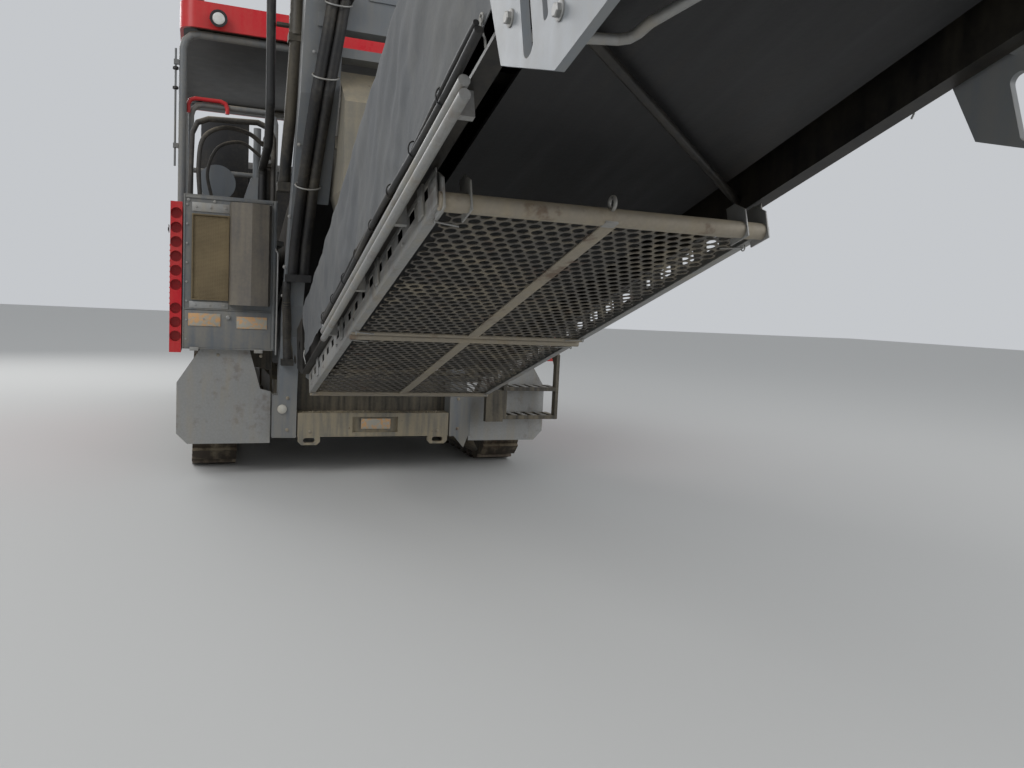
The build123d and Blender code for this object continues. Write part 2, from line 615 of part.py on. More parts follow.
def transfer_chute():
    """Hood over the main conveyor's head and the funnel that drops onto the discharge conveyor."""
    low, waist, top = CHUTE_Z
    rear, front = CHUTE_X
    half = CHUTE_HALF_WIDTH
    wall = 10
    outside = loft([
        Pos(0, 0, low) * Pos(SLEW_X, 0) * Rectangle(460, 640),
        Pos(0, 0, waist) * Pos((rear + front) / 2, 0) * Rectangle(front - rear, 2 * half),
    ])
    inside = loft([
        Pos(0, 0, low - 1) * Pos(SLEW_X, 0) * Rectangle(460 - 2 * wall, 640 - 2 * wall),
        Pos(0, 0, waist + 1) * Pos((rear + front) / 2, 0) * Rectangle(front - rear - 2 * wall, 2 * (half - wall)),
    ])
    funnel = outside - inside
    profile = [(rear, waist), (front, waist), (front, top - 120), (rear + 330, top), (rear, top - 260)]
    hood = side_plate(profile, (-half, half))
    cavity = [(rear + wall, waist - 1), (front + 1, waist - 1), (front + 1, top - 120 - wall),
              (rear + 330, top - wall), (rear + wall, top - 260 - wall)]
    hood -= side_plate(cavity, (wall - half, half - wall))
    chute = funnel + hood
    flange_y = LINER_INNER_Y - (CHUTE_EAR_Z[1] - FOOT_Z[1]) * math.tan(math.radians(GANTRY_LEAN)) - SEAT_GAP
    for ear in both_sides(block(CHUTE_EAR_X, (half - 2, flange_y), CHUTE_EAR_Z)):
        chute += ear
    return chute


def body_shell():
    """Left rear body: cooler tower and the long engine compartment, open towards the side door."""
    outline = [(0, BODY_Z[0]), (BODY_FRONT_X, BODY_Z[0]), (BODY_FRONT_X, LOWER_BODY_TOP),
               (TOWER_FRONT_X, LOWER_BODY_TOP), (TOWER_FRONT_X, BODY_Z[1]), (0, BODY_Z[1])]
    shell = side_plate(outline, BODY_Y)
    low = BODY_Z[0] + WALL
    inside = [(WALL, low), (BODY_FRONT_X - WALL, low), (BODY_FRONT_X - WALL, LOWER_BODY_TOP - WALL),
              (TOWER_FRONT_X - WALL, LOWER_BODY_TOP - WALL), (TOWER_FRONT_X - WALL, BODY_Z[1] - WALL),
              (WALL, BODY_Z[1] - WALL)]
    shell -= side_plate(inside, (BODY_Y[0] + WALL, BODY_Y[1] - WALL))
    shell -= block((DOOR_X[0] + 40, DOOR_X[1] - 40), (BODY_Y[1] - WALL - 1, BODY_Y[1] + 1),
                   (BODY_Z[0] + 60, LOWER_BODY_TOP - 60))
    return shell


def radiator_grille():
    """Flat cooler core in a thin frame, on the left tower's rear face."""
    back = -SEAT_GAP
    core = block((back - 10, back), CORE_Y, CORE_Z)
    frame_y, frame_z = ((low - CORE_RIM, high + CORE_RIM) for low, high in (CORE_Y, CORE_Z))
    frame = block((back - 22, back), frame_y, frame_z) - block((back - 23, back + 1), CORE_Y, CORE_Z)
    return frame + core


def air_duct():
    """Folded sheet-metal duct beside the cooler."""
    outline = [(-SEAT_GAP, 808), (-70, 830), (-105, 950), (-70, 1085), (-SEAT_GAP, 1098)]
    return level_plate(outline, DUCT_Z)


def side_panel(side):
    """Fixed red side panel: the perforated rear edge, the stretch in front of the door and its hinge pins."""
    outer = MACHINE_HALF_WIDTH
    inner = outer - SIDE_PANEL_THICKNESS
    panel = block((0, DOOR_X[0] - DOOR_GAP), (inner, outer), SIDE_PANEL_Z)
    for z in PANEL_HOLES_Z:
        panel -= rod((-1, (inner + outer) / 2, z), (60, (inner + outer) / 2, z), PANEL_HOLE_R)
    panel += block((DOOR_X[1] + DOOR_GAP, BODY_FRONT_X), (inner, outer), SIDE_PANEL_Z)
    panel += block((DOOR_X[0] - DOOR_GAP - 1, DOOR_X[1] + DOOR_GAP + 1), (inner, outer - 10),
                   (SIDE_PANEL_Z[0], SIDE_PANEL_Z[0] + 40))
    hinge_x, hinge_y = door_hinge()
    for z in DOOR_HINGE_Z:
        panel += rod((hinge_x, hinge_y, z), (hinge_x, hinge_y, z + 2 * KNUCKLE), HINGE_PIN_R)
        panel += rod((hinge_x, hinge_y, z), (hinge_x, hinge_y, z + KNUCKLE - 1), HINGE_R)
        panel += block((hinge_x, hinge_x + 50), (outer - 1, hinge_y), (z, z + KNUCKLE - 1))
    return panel if side > 0 else mirrored(panel)


def door_hinge():
    """Place of a side door's hinge axis as (X, Y), just outside the panels' joint."""
    return DOOR_X[1] + DOOR_GAP / 2, MACHINE_HALF_WIDTH + HINGE_R


def side_door(side):
    """Red service door between the fixed panels, hinged at its front edge."""
    outer = MACHINE_HALF_WIDTH
    inner = outer - SIDE_PANEL_THICKNESS
    door = block(DOOR_X, (inner + 4, outer), (SIDE_PANEL_Z[0] + 40 + RUNNING_GAP, SIDE_PANEL_Z[1]))
    door -= block((DOOR_X[0] + 30, DOOR_X[1] - 30), (inner + 3, outer - 30),
                  (SIDE_PANEL_Z[0] + 90, SIDE_PANEL_Z[1] - 40))
    hinge_x, hinge_y = door_hinge()
    for z in DOOR_HINGE_Z:
        door += block((hinge_x - 50, hinge_x), (outer - 1, hinge_y), (z + KNUCKLE, z + 2 * KNUCKLE))
        door += rod((hinge_x, hinge_y, z + KNUCKLE), (hinge_x, hinge_y, z + 2 * KNUCKLE), HINGE_R)
        door -= rod((hinge_x, hinge_y, z), (hinge_x, hinge_y, z + 3 * KNUCKLE), HINGE_PIN_R + PIN_CLEARANCE)
    return door if side > 0 else mirrored(door)


def engine_block():
    """Diesel engine as one plain block in the left compartment."""
    return block(ENGINE_X, ENGINE_Y, (BODY_Z[0] + WALL + SEAT_GAP, ENGINE_TOP_Z))


def mudflaps():
    """Plates behind the tracks, narrower at the top."""
    low, high = MUDFLAP_Z
    inner, outer = MUDFLAP_Y
    outline = [(inner, low), (outer - 75, low), (outer, low + 78), (outer, 700), (1284, high),
               (940, high), (860, 660), (inner, 640)]
    front = MUDFLAP_X + MUDFLAP_THICKNESS
    flap = cross_plate(outline, (MUDFLAP_X, front))
    hanger = block((front - 1, front + 80), (1000, 1060), (high - 40, BODY_Z[0] - SEAT_GAP))
    return both_sides(flap + hanger)


def ladder():
    """Rear right ladder with open steps, and the small box beside it."""
    inner, outer = LADDER_Y
    stile = 28
    rear, front = -STEP_DEPTH / 2 - 60, STEP_DEPTH / 2 - 60
    parts = []
    for y in ((-inner - stile, -inner), (-outer, -outer + stile)):
        parts.append(side_plate([(rear, 480), (rear, 985), (-60, 1050), (-SEAT_GAP, 1050),
                                 (-SEAT_GAP, 975), (-75, 960), (rear + 60, 900), (rear + 60, 480)], y))
    for z in STEP_Z:
        tread = block((rear, front), (-outer, -inner), (z - 30, z))
        for slot in range(5):
            y = -inner - 60 - slot * 85
            tread -= block((rear + 25, front - 25), (y - 30, y + 10), (z - 40, z + 1))
        parts.append(tread)
    parts.append(block((rear, -120), (-inner, -inner + 145), (440, 690)))
    return joined(parts)


def platform():
    """Operator's floor on both sides, bridged in front of the main conveyor's cover."""
    top = PLATFORM_Z
    wing_y = (PLATFORM_INNER_Y, MACHINE_HALF_WIDTH - SIDE_PANEL_THICKNESS - SEAT_GAP)
    side = block(PLATFORM_X, wing_y, top)
    parts = both_sides(side)
    parts.append(block((BRIDGE_REAR_X, PLATFORM_X[1]), (-wing_y[0] - 1, wing_y[0] + 1), top))
    leg_y = (BODY_Y[0] + 20, BODY_Y[0] + 80)
    for x in PLATFORM_LEG_X:
        parts += both_sides(block((x, x + 60), leg_y, (LOWER_BODY_TOP + SEAT_GAP, top[0] + 1)))
    return joined(parts)


def seat():
    """Operator's seat: cushion, backrest and pedestal."""
    floor = PLATFORM_Z[1] + SEAT_GAP
    x, y = SEAT_PLACE
    cushion = block((x - 240, x + 260), (y - 240, y + 240), (floor + 380, floor + 500))
    back_low, back_top = floor + 480, floor + 1120
    back = side_plate([(x - 250, back_low), (x - 130, back_low), (x - 210, back_top), (x - 310, back_top)],
                      (y - 230, y + 230))
    pedestal = block((x - 150, x + 150), (y - 130, y + 130), (floor, floor + 385))
    return cushion + back + pedestal


def console():
    """Control desk across the platform's front."""
    floor = PLATFORM_Z[1] + SEAT_GAP
    rear, knee, front = CONSOLE_X
    return side_plate([(knee, floor), (front, floor), (front, floor + 1010), (rear, floor + 890), (rear, floor + 800),
                       (knee, floor + 760)], (-CONSOLE_HALF_WIDTH, CONSOLE_HALF_WIDTH))


def guard_rails():
    """Tube rails at the rear of each operator's station."""
    floor = PLATFORM_Z[1] + SEAT_GAP
    x = GUARD_RAIL_X
    inner, outer = GUARD_RAIL_Y
    hoop = bent_tube([(x, inner, floor), (x, inner, RAIL_TOP_Z), (x, outer, RAIL_TOP_Z), (x, outer, floor)], TUBE_R, 90)
    edge = TUBE_R + SEAT_GAP
    middle_z = (floor + RAIL_TOP_Z) / 2
    middle = rod((x, inner + edge, middle_z), (x, outer - edge, middle_z), TUBE_R - 2)
    return both_sides(hoop) + both_sides(middle)


def grab_bar():
    """Red grab bar on top of the left guard rail."""
    x = GUARD_RAIL_X - TUBE_R - GRAB_BAR_R - SEAT_GAP
    outer, inner = GUARD_RAIL_Y[1] + 22, GUARD_RAIL_Y[1] - 270
    top = RAIL_TOP_Z + 35
    return bent_tube([(x, outer, top - 115), (x, outer, top), (x, inner, top), (x, inner, top - 95)], GRAB_BAR_R, 50, 2)


def canopy_frame():
    """Grey tube hoops that carry the roof."""
    low = SIDE_PANEL_Z[1] + SEAT_GAP
    y = MACHINE_HALF_WIDTH - SIDE_PANEL_THICKNESS / 2 - 18
    parts = []
    for x in HOOP_X:
        hoop = bent_tube([(x, y, low), (x, y, ROOF_Z[0] - HOOP_R - SEAT_GAP),
                          (x, -y, ROOF_Z[0] - HOOP_R - SEAT_GAP), (x, -y, low)], HOOP_R, 120)
        parts.append(hoop)
    rod_y = y + HOOP_R + 24
    rod_x = HOOP_X[0]
    marker = rod((rod_x, rod_y, MARKER_Z[0]), (rod_x, rod_y, MARKER_Z[1]), MARKER_R)
    for z in MARKER_CLIP_Z:
        marker += block((rod_x - 14, rod_x + 14), (y + HOOP_R + SEAT_GAP, rod_y + 14), (z, z + 36))
    parts.append(marker)
    return parts


def canopy_roof():
    """Red roof with a turned-down fascia and a black lining set into it."""
    outer = ROOF_HALF_WIDTH
    roof = block(ROOF_X, (-outer, outer), ROOF_Z)
    roof = fillet(roof.edges().filter_by(Axis.Z), 120)
    hollow = block((ROOF_X[0] + FASCIA, ROOF_X[1] - FASCIA), (-outer + FASCIA, outer - FASCIA),
                   (ROOF_Z[0] - 1, ROOF_Z[1] - FASCIA))
    hollow = fillet(hollow.edges().filter_by(Axis.Z), 100)
    return roof - hollow


def roof_lining():
    """Black lining under the roof."""
    edge = FASCIA + SEAT_GAP
    half = ROOF_HALF_WIDTH - edge
    lining = block((ROOF_X[0] + edge, ROOF_X[1] - edge), (-half, half), (ROOF_Z[0], ROOF_Z[0] + 60))
    return fillet(lining.edges().filter_by(Axis.Z), 101)


def lamps():
    """Beacon on the roof and work lamps on its rear fascia."""
    beacon = Pos(ROOF_X[0] + 140, 1330, ROOF_Z[1] + 60 + SEAT_GAP) * Cylinder(58, 120)
    parts = [beacon]
    for y in WORK_LAMP_Y:
        lamp = block((ROOF_X[0] - 80, ROOF_X[0] - SEAT_GAP), (y - 65, y + 65), (ROOF_Z[0] + 40, ROOF_Z[0] + 150))
        parts.append(lamp)
    return parts


def air_intake():
    """Round air cleaner and breather with its pipe, on top of the left tower."""
    top = BODY_Z[1] + SEAT_GAP
    rear, front = CLEANER_X
    axis_z = top + CLEANER_R
    cleaner = rod((rear, CLEANER_Y, axis_z), (front, CLEANER_Y, axis_z), CLEANER_R)
    foot = block((rear + 100, front - 100), (CLEANER_Y - 60, CLEANER_Y + 60), (top, top + 40))
    hood = loft([Pos(*BREATHER, top) * Rectangle(240, 200), Pos(*BREATHER, top + 190) * Rectangle(90, 80)])
    pipe = rod((*BREATHER, top + 185), (*BREATHER, top + BREATHER_HEIGHT), 28)
    return [cleaner + foot, hood + pipe]


def hopper_tub():
    """Fixed middle of the hopper: conveyor trough sides, sloped flanks and rear wall."""
    rear, front = HOPPER_X
    parts = []
    flank = cross_plate([(TUB_INNER_Y, TUB_Z + 8), (TUB_INNER_Y, TUB_Z + 38), (WING_HINGE_Y - 40, 850),
                         (WING_HINGE_Y - 40, TUB_Z), (620, TUB_Z), (620, TUB_Z + 8)], (rear, front))
    parts += both_sides(flank)
    for x in (rear + 200, (rear + front) / 2, front - 260):
        knuckle = rod((x, WING_HINGE_Y, WING_HINGE_Z), (x + 120, WING_HINGE_Y, WING_HINGE_Z), WING_KNUCKLE_R)
        knuckle += block((x, x + 120), (WING_HINGE_Y - 45, WING_HINGE_Y), (WING_HINGE_Z - 30, WING_HINGE_Z + 25))
        knuckle -= rod((x - 1, WING_HINGE_Y, WING_HINGE_Z), (x + 121, WING_HINGE_Y, WING_HINGE_Z),
                       WING_HINGE_PIN_R + PIN_CLEARANCE)
        parts += both_sides(knuckle)
    wall_x = (rear - 60, rear - 30)
    wall = cross_plate([(-1200, 1250), (-760, TUB_Z), (-TUB_INNER_Y, TUB_Z), (-TUB_INNER_Y, 1500),
                        (TUB_INNER_Y, 1500), (TUB_INNER_Y, TUB_Z), (760, TUB_Z), (1200, 1250), (1200, 1900),
                        (-1200, 1900)], wall_x)
    parts.append(wall)
    foot = block((rear - 61, rear + 1), (620, 755), (TUB_Z, TUB_Z + 18))
    parts += both_sides(foot)
    return joined(parts)


def wing(side):
    """Hopper wing: sloped floor, outer wall, rear gusset and hinge barrel on its pin."""
    rear, front = HOPPER_X
    rear += RUNNING_GAP
    floor_angle, wall_angle = (math.radians(a) for a in WING_ANGLES)
    start = (WING_HINGE_Y + 20, WING_HINGE_Z + 60)
    knee = (start[0] + WING_FLOOR * math.cos(floor_angle), start[1] + WING_FLOOR * math.sin(floor_angle))
    top = (knee[0] + WING_WALL * math.cos(wall_angle), knee[1] + WING_WALL * math.sin(wall_angle))
    t = WING_THICKNESS
    shell = cross_plate([start, knee, top, (top[0] + t, top[1]), (knee[0] + t + 6, knee[1]),
                         (start[0] + t + 6, start[1] - 6)], (rear, front))
    shell += cross_plate([start, knee, top, (top[0] - 180, top[1] - 200)], (rear, rear + t))
    for x in (HOPPER_X[0] + 340, (HOPPER_X[0] + HOPPER_X[1]) / 2 + 140, HOPPER_X[1] - 110):
        shell += rod((x, WING_HINGE_Y, WING_HINGE_Z), (x + 90, WING_HINGE_Y, WING_HINGE_Z), WING_KNUCKLE_R)
        shell += cross_plate([(WING_HINGE_Y - 5, WING_HINGE_Z), (WING_HINGE_Y + 30, WING_HINGE_Z),
                              (start[0] + 40, start[1] + 20), (start[0] + 2, start[1] + 2)], (x, x + 90))
    shell += rod((HOPPER_X[0] + 190, WING_HINGE_Y, WING_HINGE_Z), (front - 20, WING_HINGE_Y, WING_HINGE_Z),
                 WING_HINGE_PIN_R)
    for x in WING_RIB_X:
        shell += cross_plate([(knee[0] + t, knee[1] + 30), (top[0] + t - 2, top[1] - 12),
                              (top[0] + t + 40, top[1] - 12), (knee[0] + t + 60, knee[1] + 30)], (x, x + 12))
    shell += cross_plate([(top[0] + 2, top[1] - 2), (top[0] + 2, top[1] + 26), (top[0] + t + 40, top[1] + 26),
                          (top[0] + t + 40, top[1] - 14), (top[0] + t, top[1] - 14)], (rear, front))
    eye_y, eye_z = WING_EYE
    for x in (WING_CYLINDER_X - 60, WING_CYLINDER_X + 36):
        shell += cross_plate([(eye_y - 30, eye_z - 30), (eye_y + 30, eye_z - 30), (eye_y + 45, eye_z + 105),
                              (eye_y - 75, eye_z + 25)], (x, x + 24))
    shell += rod((WING_CYLINDER_X - 60, eye_y, eye_z), (WING_CYLINDER_X + 60, eye_y, eye_z), WING_EYE_PIN_R)
    return shell if side > 0 else mirrored(shell)


def wing_cylinder():
    """Barrel and rod of one hopper wing's cylinder, left side."""
    base = Vector(WING_CYLINDER_X, *WING_BASE)
    tip = Vector(WING_CYLINDER_X, *WING_EYE)
    along = (tip - base).normalized()
    half = 30
    barrel = rod(tuple(base + along * 20), tuple(base + along * WING_BARREL_LENGTH), WING_BARREL_R, WING_ROD_R + 1)
    barrel += rod((WING_CYLINDER_X - half, base.Y, base.Z), (WING_CYLINDER_X + half, base.Y, base.Z), WING_BARREL_R - 7)
    barrel += rod(tuple(base + along * 15), tuple(base + along * 70), WING_BARREL_R)
    barrel -= rod((WING_CYLINDER_X - 50, base.Y, base.Z), (WING_CYLINDER_X + 50, base.Y, base.Z),
                  WING_PIN_R + PIN_CLEARANCE)
    piston = rod(tuple(tip - along * WING_ROD_LENGTH), tuple(tip - along * 20), WING_ROD_R)
    piston += rod((WING_CYLINDER_X - half, tip.Y, tip.Z), (WING_CYLINDER_X + half, tip.Y, tip.Z), 42)
    piston -= rod((WING_CYLINDER_X - 50, tip.Y, tip.Z), (WING_CYLINDER_X + 50, tip.Y, tip.Z), 2 * WING_EYE_PIN_R)
    return barrel, piston


def front_flap():
    """Apron across the hopper's mouth, hinged at its foot."""
    x = FLAP_HINGE_X
    z = FRONT_BEAM_Z[1] + FLAP_PIN_R + PIN_CLEARANCE
    half = TROUGH_Y + 20
    flap = block((x - 8, x + 8), (-half, half), (z, z + FLAP_HEIGHT)) + rod((x, -half, z), (x, half, z), FLAP_PIN_R)
    return flap


def push_beam():
    """Swivelling beam with end plates for the push rollers."""
    low, top = PUSH_BEAM_Z
    rear, front = (PUSH_PIN_X + depth for depth in PUSH_BEAM_DEPTH)
    beam = block((rear, front), (-PUSH_BEAM_HALF, PUSH_BEAM_HALF), PUSH_BEAM_Z)
    fork_low, fork_top = PUSH_LUG_Z[0] - 40, PUSH_LUG_Z[1] + 40
    for plate_z in ((fork_low, fork_low + 30), (fork_top - 30, fork_top)):
        beam += block((PUSH_PIN_X - 55, rear + 5), (-80, 80), plate_z)
    beam += rod((PUSH_PIN_X, 0, fork_low), (PUSH_PIN_X, 0, fork_top), PUSH_PIN_R)
    for y in (PUSH_ROLLER_Y[0] - 40, PUSH_ROLLER_Y[1] + 15):
        plate = side_plate([(front - 5, low), (PUSH_ROLLER_X, low), (PUSH_ROLLER_X + 60, low + 60),
                            (PUSH_ROLLER_X + 60, top - 50), (PUSH_ROLLER_X, top), (front - 5, top)], (y, y + 25))
        for piece in both_sides(plate):
            beam += piece
    for side in (1, -1):
        beam -= rod((PUSH_ROLLER_X, side * (PUSH_ROLLER_Y[0] - 50), PUSH_ROLLER_Z),
                    (PUSH_ROLLER_X, side * (PUSH_ROLLER_Y[1] + 60), PUSH_ROLLER_Z), PUSH_SHAFT_R + PIN_CLEARANCE)
    return beam


def push_roller(side):
    """Roller that pushes against the truck's rear wheels, with its shaft."""
    inner, outer = (side * y for y in PUSH_ROLLER_Y)
    reach = side * 40
    roller = rod((PUSH_ROLLER_X, inner, PUSH_ROLLER_Z), (PUSH_ROLLER_X, outer, PUSH_ROLLER_Z), PUSH_ROLLER_R)
    return roller + rod((PUSH_ROLLER_X, inner - reach, PUSH_ROLLER_Z), (PUSH_ROLLER_X, outer + reach, PUSH_ROLLER_Z),
                        PUSH_SHAFT_R)


def slewing_cradle():
    """Turning foot on the slewing pin, with two cheeks that hold the conveyor's luffing pins."""
    low = SLEW_ARM_Z[1] + 5
    plate = rod((SLEW_X, 0, low), (SLEW_X, 0, low + 45), 150)
    plate += block((SLEW_X - 60, SLEW_X + 160), (-CRADLE_Y[1], CRADLE_Y[1]), (low, low + 45))
    plate += rod((SLEW_X, 0, SLEW_ARM_Z[0] + 5), (SLEW_X, 0, low + 10), SLEW_PIN_R)
    cheek_top = PIVOT_Z + 75
    cheek = side_plate([(SLEW_X - 60, low), (SLEW_X + 160, low), (SLEW_X + 80, cheek_top), (SLEW_X - 70, cheek_top),
                        (SLEW_X - 90, PIVOT_Z - 30)], CRADLE_Y)
    for piece in both_sides(cheek):
        plate += piece
    reach = CRADLE_Y[1] + 10
    plate -= rod((SLEW_X, -reach, PIVOT_Z), (SLEW_X, reach, PIVOT_Z), LUFF_PIN_R + PIN_CLEARANCE)
    return plate


def slewing_head():
    """Turning head on the gantry's post, with a yoke for the suspension cylinders."""
    low = GANTRY_TOP_Z + 65
    yoke_z = (HEAD_PIN_Z - 70, HEAD_PIN_Z + 50)
    yoke_front = SLEW_X + 60
    ear_outer = CYLINDER_Y + EYE_WIDTH / 2 + 28
    head = rod((SLEW_X, 0, low), (SLEW_X, 0, HEAD_PIN_Z + 60), HEAD_COLLAR_R + 5)
    head += block((SLEW_X - 90, yoke_front), (-BOOM_HALF_WIDTH, BOOM_HALF_WIDTH), yoke_z)
    ear_rear = HEAD_PIN_X - 60
    for y in (CYLINDER_Y - EYE_WIDTH / 2 - 28, ear_outer - 24):
        ear = side_plate([(ear_rear, HEAD_PIN_Z - 60), (yoke_front, yoke_z[0]), (yoke_front, yoke_z[1]),
                          (ear_rear, HEAD_PIN_Z + 60)], (y, y + 24))
        for piece in both_sides(ear):
            head += piece
    bridge = block((SLEW_X - 10, yoke_front), (BOOM_HALF_WIDTH - 10, ear_outer), yoke_z)
    for piece in both_sides(bridge):
        head += piece
    head -= rod((SLEW_X, 0, low - 1), (SLEW_X, 0, HEAD_PIN_Z + 200), HEAD_POST_R + PIN_CLEARANCE)
    for side in (1, -1):
        head += rod((HEAD_PIN_X, side * (CYLINDER_Y - 60), HEAD_PIN_Z),
                    (HEAD_PIN_X, side * (ear_outer + 2), HEAD_PIN_Z), CYLINDER_PIN_R)
    return head


def luff_cylinders():
    """Suspension cylinders of the discharge conveyor: barrels and rods."""
    lug_x, lug_z = boom_point(LUG_U, LUG_V)
    barrels, rods = [], []
    for side in (1, -1):
        y = side * CYLINDER_Y
        start = Vector(HEAD_PIN_X, y, HEAD_PIN_Z)
        end = Vector(lug_x, y, lug_z)
        along = (end - start).normalized()
        half = EYE_WIDTH / 2
        barrel = rod(tuple(start + along * 400), tuple(start + along * BARREL_LENGTH), CYLINDER_R,
                     ROD_R + PIN_CLEARANCE)
        barrel += rod(tuple(start + along * BARREL_NECK), tuple(start + along * 410), CYLINDER_R)
        barrel += rod(tuple(start + along * 60), tuple(start + along * (BARREL_NECK + 2)), EYE_WIDTH / 2 - 2)
        barrel += rod((start.X, y - half, start.Z), (start.X, y + half, start.Z), EYE_R)
        barrel -= rod((start.X, y - 80, start.Z), (start.X, y + 80, start.Z), CYLINDER_PIN_R + PIN_CLEARANCE)
        barrels.append(barrel)
        total = (end - start).length
        piston = rod(tuple(start + along * (total - 3250)), tuple(end - along * 60), ROD_R)
        piston += rod((end.X, y - half, end.Z), (end.X, y + half, end.Z), EYE_R + 10)
        piston -= rod((end.X, y - 80, end.Z), (end.X, y + 80, end.Z), OPEN_EYE_R)
        rods.append(piston)
    return barrels, rods


def boom_frame():
    """Side frames and cross tubes of the discharge conveyor, with the pins it luffs on."""
    inner = BOOM_HALF_WIDTH - SIDE_THICKNESS
    outline = [(-TAIL_U, SIDE_V[0] + 90), (-TAIL_U, SIDE_V[1]), (-TIP_U, SIDE_V[1]), (-TIP_U, SIDE_V[0] + 120),
               (-TIP_U + 500, SIDE_V[0]), (-TAIL_U - 250, SIDE_V[0])]
    side = side_plate(outline, (inner, BOOM_HALF_WIDTH))
    hollow = [(-TAIL_U - 300, SIDE_V[0] + 12), (-TAIL_U - 300, SIDE_V[1] - 12), (-TIP_U + 60, SIDE_V[1] - 12),
              (-TIP_U + 520, SIDE_V[0] + 12)]
    side -= side_plate(hollow, (inner + 8, BOOM_HALF_WIDTH + 1))
    side -= rod((-HEAD_U, inner - 1, 0), (-HEAD_U, BOOM_HALF_WIDTH, 0), DRUM_SHAFT_R + PIN_CLEARANCE)
    parts = both_sides(side)
    for u in range(600, HEAD_U - 300, 950):
        half = CROSS_TUBE / 2
        parts.append(block((-u - half, -u + half), (-inner - 1, inner + 1), (-half, half)))
    parts.append(rod((-BRACE_U[0], inner + 2, BRACE_V), (-BRACE_U[1], -inner - 2, BRACE_V), BRACE_R))
    frame = joined(parts)
    for side_sign in (1, -1):
        frame += rod((0, side_sign * (BELT_HALF_WIDTH + 30), 0), (0, side_sign * (inner + 10), 0), LUFF_PIN_R)
    frame -= rod((0, -BOOM_HALF_WIDTH, 0), (0, BOOM_HALF_WIDTH, 0), DRUM_SHAFT_R + PIN_CLEARANCE)
    return on_boom(frame)


def boom_belt():
    """Belt of the discharge conveyor with its two drums."""
    belt = Pos(-HEAD_U, 0, 0) * belt_loop(HEAD_U, DRUM_R, BELT_HALF_WIDTH)
    pieces = [belt]
    for u in (0, HEAD_U):
        pieces.append(drum(-u, BELT_HALF_WIDTH + 25, DRUM_R, BOOM_HALF_WIDTH - SIDE_THICKNESS + 20))
    return [on_boom(piece) for piece in pieces]


def belt_guard():
    """Perforated guard under the discharge conveyor's lower stretch, with its edges and bars."""
    low, high = GUARD_U
    half = GUARD_HALF_WIDTH
    plate = block((-high, -low), (-half, half), (GUARD_V, GUARD_V + GUARD_THICKNESS))
    edge = block((-high, -low), (half - 6, half), (GUARD_V, GUARD_V + GUARD_EDGE_HEIGHT))
    slot_length, slot_height = GUARD_SLOT
    for step in range(GUARD_SLOT_COUNT):
        u = low + 60 + step * GUARD_SLOT_PITCH
        edge -= block((-u - slot_length, -u), (half - 7, half + 1), (GUARD_V + 62, GUARD_V + 62 + slot_height))
    parts = [plate] + both_sides(edge)
    strip_y = (-GUARD_STRIP_HALF_WIDTH, GUARD_STRIP_HALF_WIDTH)
    parts.append(block((-high, -low), strip_y, (GUARD_V - 7, GUARD_V + 1)))
    for u, radius in zip((low, GUARD_MIDDLE_U, high), GUARD_BAR_R):
        parts.append(rod((-u, -half, GUARD_V + 10), (-u, half, GUARD_V + 10), radius))
    for u in GUARD_HANGER_U:
        hanger = block((-u - 30, -u + 30), (half - 1, half + 8), (GUARD_V + 10, SIDE_V[0] - SEAT_GAP))
        parts += both_sides(hanger)
    return on_boom(joined(parts))


def boom_cover():
    """Tarpaulin over the discharge conveyor as a plain shell, open below."""
    t = COVER_THICKNESS
    seat = SIDE_V[1] + SEAT_GAP + t
    end_u, end_v = COVER_RIDGE[-1]
    outline = [(COVER_START_U, HEM_V), (COVER_START_U, seat), *COVER_RIDGE, (end_u, HEM_V)]
    cover = side_plate([(-u, v) for u, v in outline], (-COVER_HALF_WIDTH, COVER_HALF_WIDTH))
    inner_ridge = [(u, v - t) for u, v in COVER_RIDGE[:-1]]
    cavity = [(COVER_START_U - 1, HEM_V - 1), (COVER_START_U - 1, seat - t), *inner_ridge, (end_u + 1, end_v - t),
              (end_u + 1, HEM_V - 1)]
    cover -= side_plate([(-u, v) for u, v in cavity], (t - COVER_HALF_WIDTH, COVER_HALF_WIDTH - t))
    return on_boom(cover)


def suspension_brackets():
    """Side plates of the discharge conveyor that carry the suspension pins, with their adjusting slots."""
    outer_face = COVER_HALF_WIDTH + 3
    outline = [(-392, -198), (-352, -385), (-93, -552), (160, -556), (330, -420), (330, -110), (190, 60),
               (80, LUG_V + 60), (-80, LUG_V + 60), (-190, 60), (-320, -150)]
    face = outer_face + BRACKET_THICKNESS
    plate = side_plate([(-LUG_U - along, v) for along, v in outline], (outer_face, face))
    for along, v, width, height in BRACKET_SLOTS:
        slot = block((-LUG_U - along - width / 2, -LUG_U - along + width / 2), (outer_face - 1, face + 1),
                     (v - height / 2, v + height / 2))
        plate -= fillet(slot.edges().filter_by(Axis.Y), width * 0.45)
    spacer = block((-LUG_U - 60, -LUG_U + 200), (BOOM_HALF_WIDTH + SEAT_GAP, outer_face + 2),
                   (SIDE_V[0] + 2, HEM_V - 8))
    pin = rod((-LUG_U, outer_face + 10, LUG_V), (-LUG_U, CYLINDER_Y + EYE_WIDTH / 2 + 10, LUG_V), CYLINDER_PIN_R)
    bracket = plate + spacer + pin
    return [on_boom(piece) for piece in both_sides(bracket)]


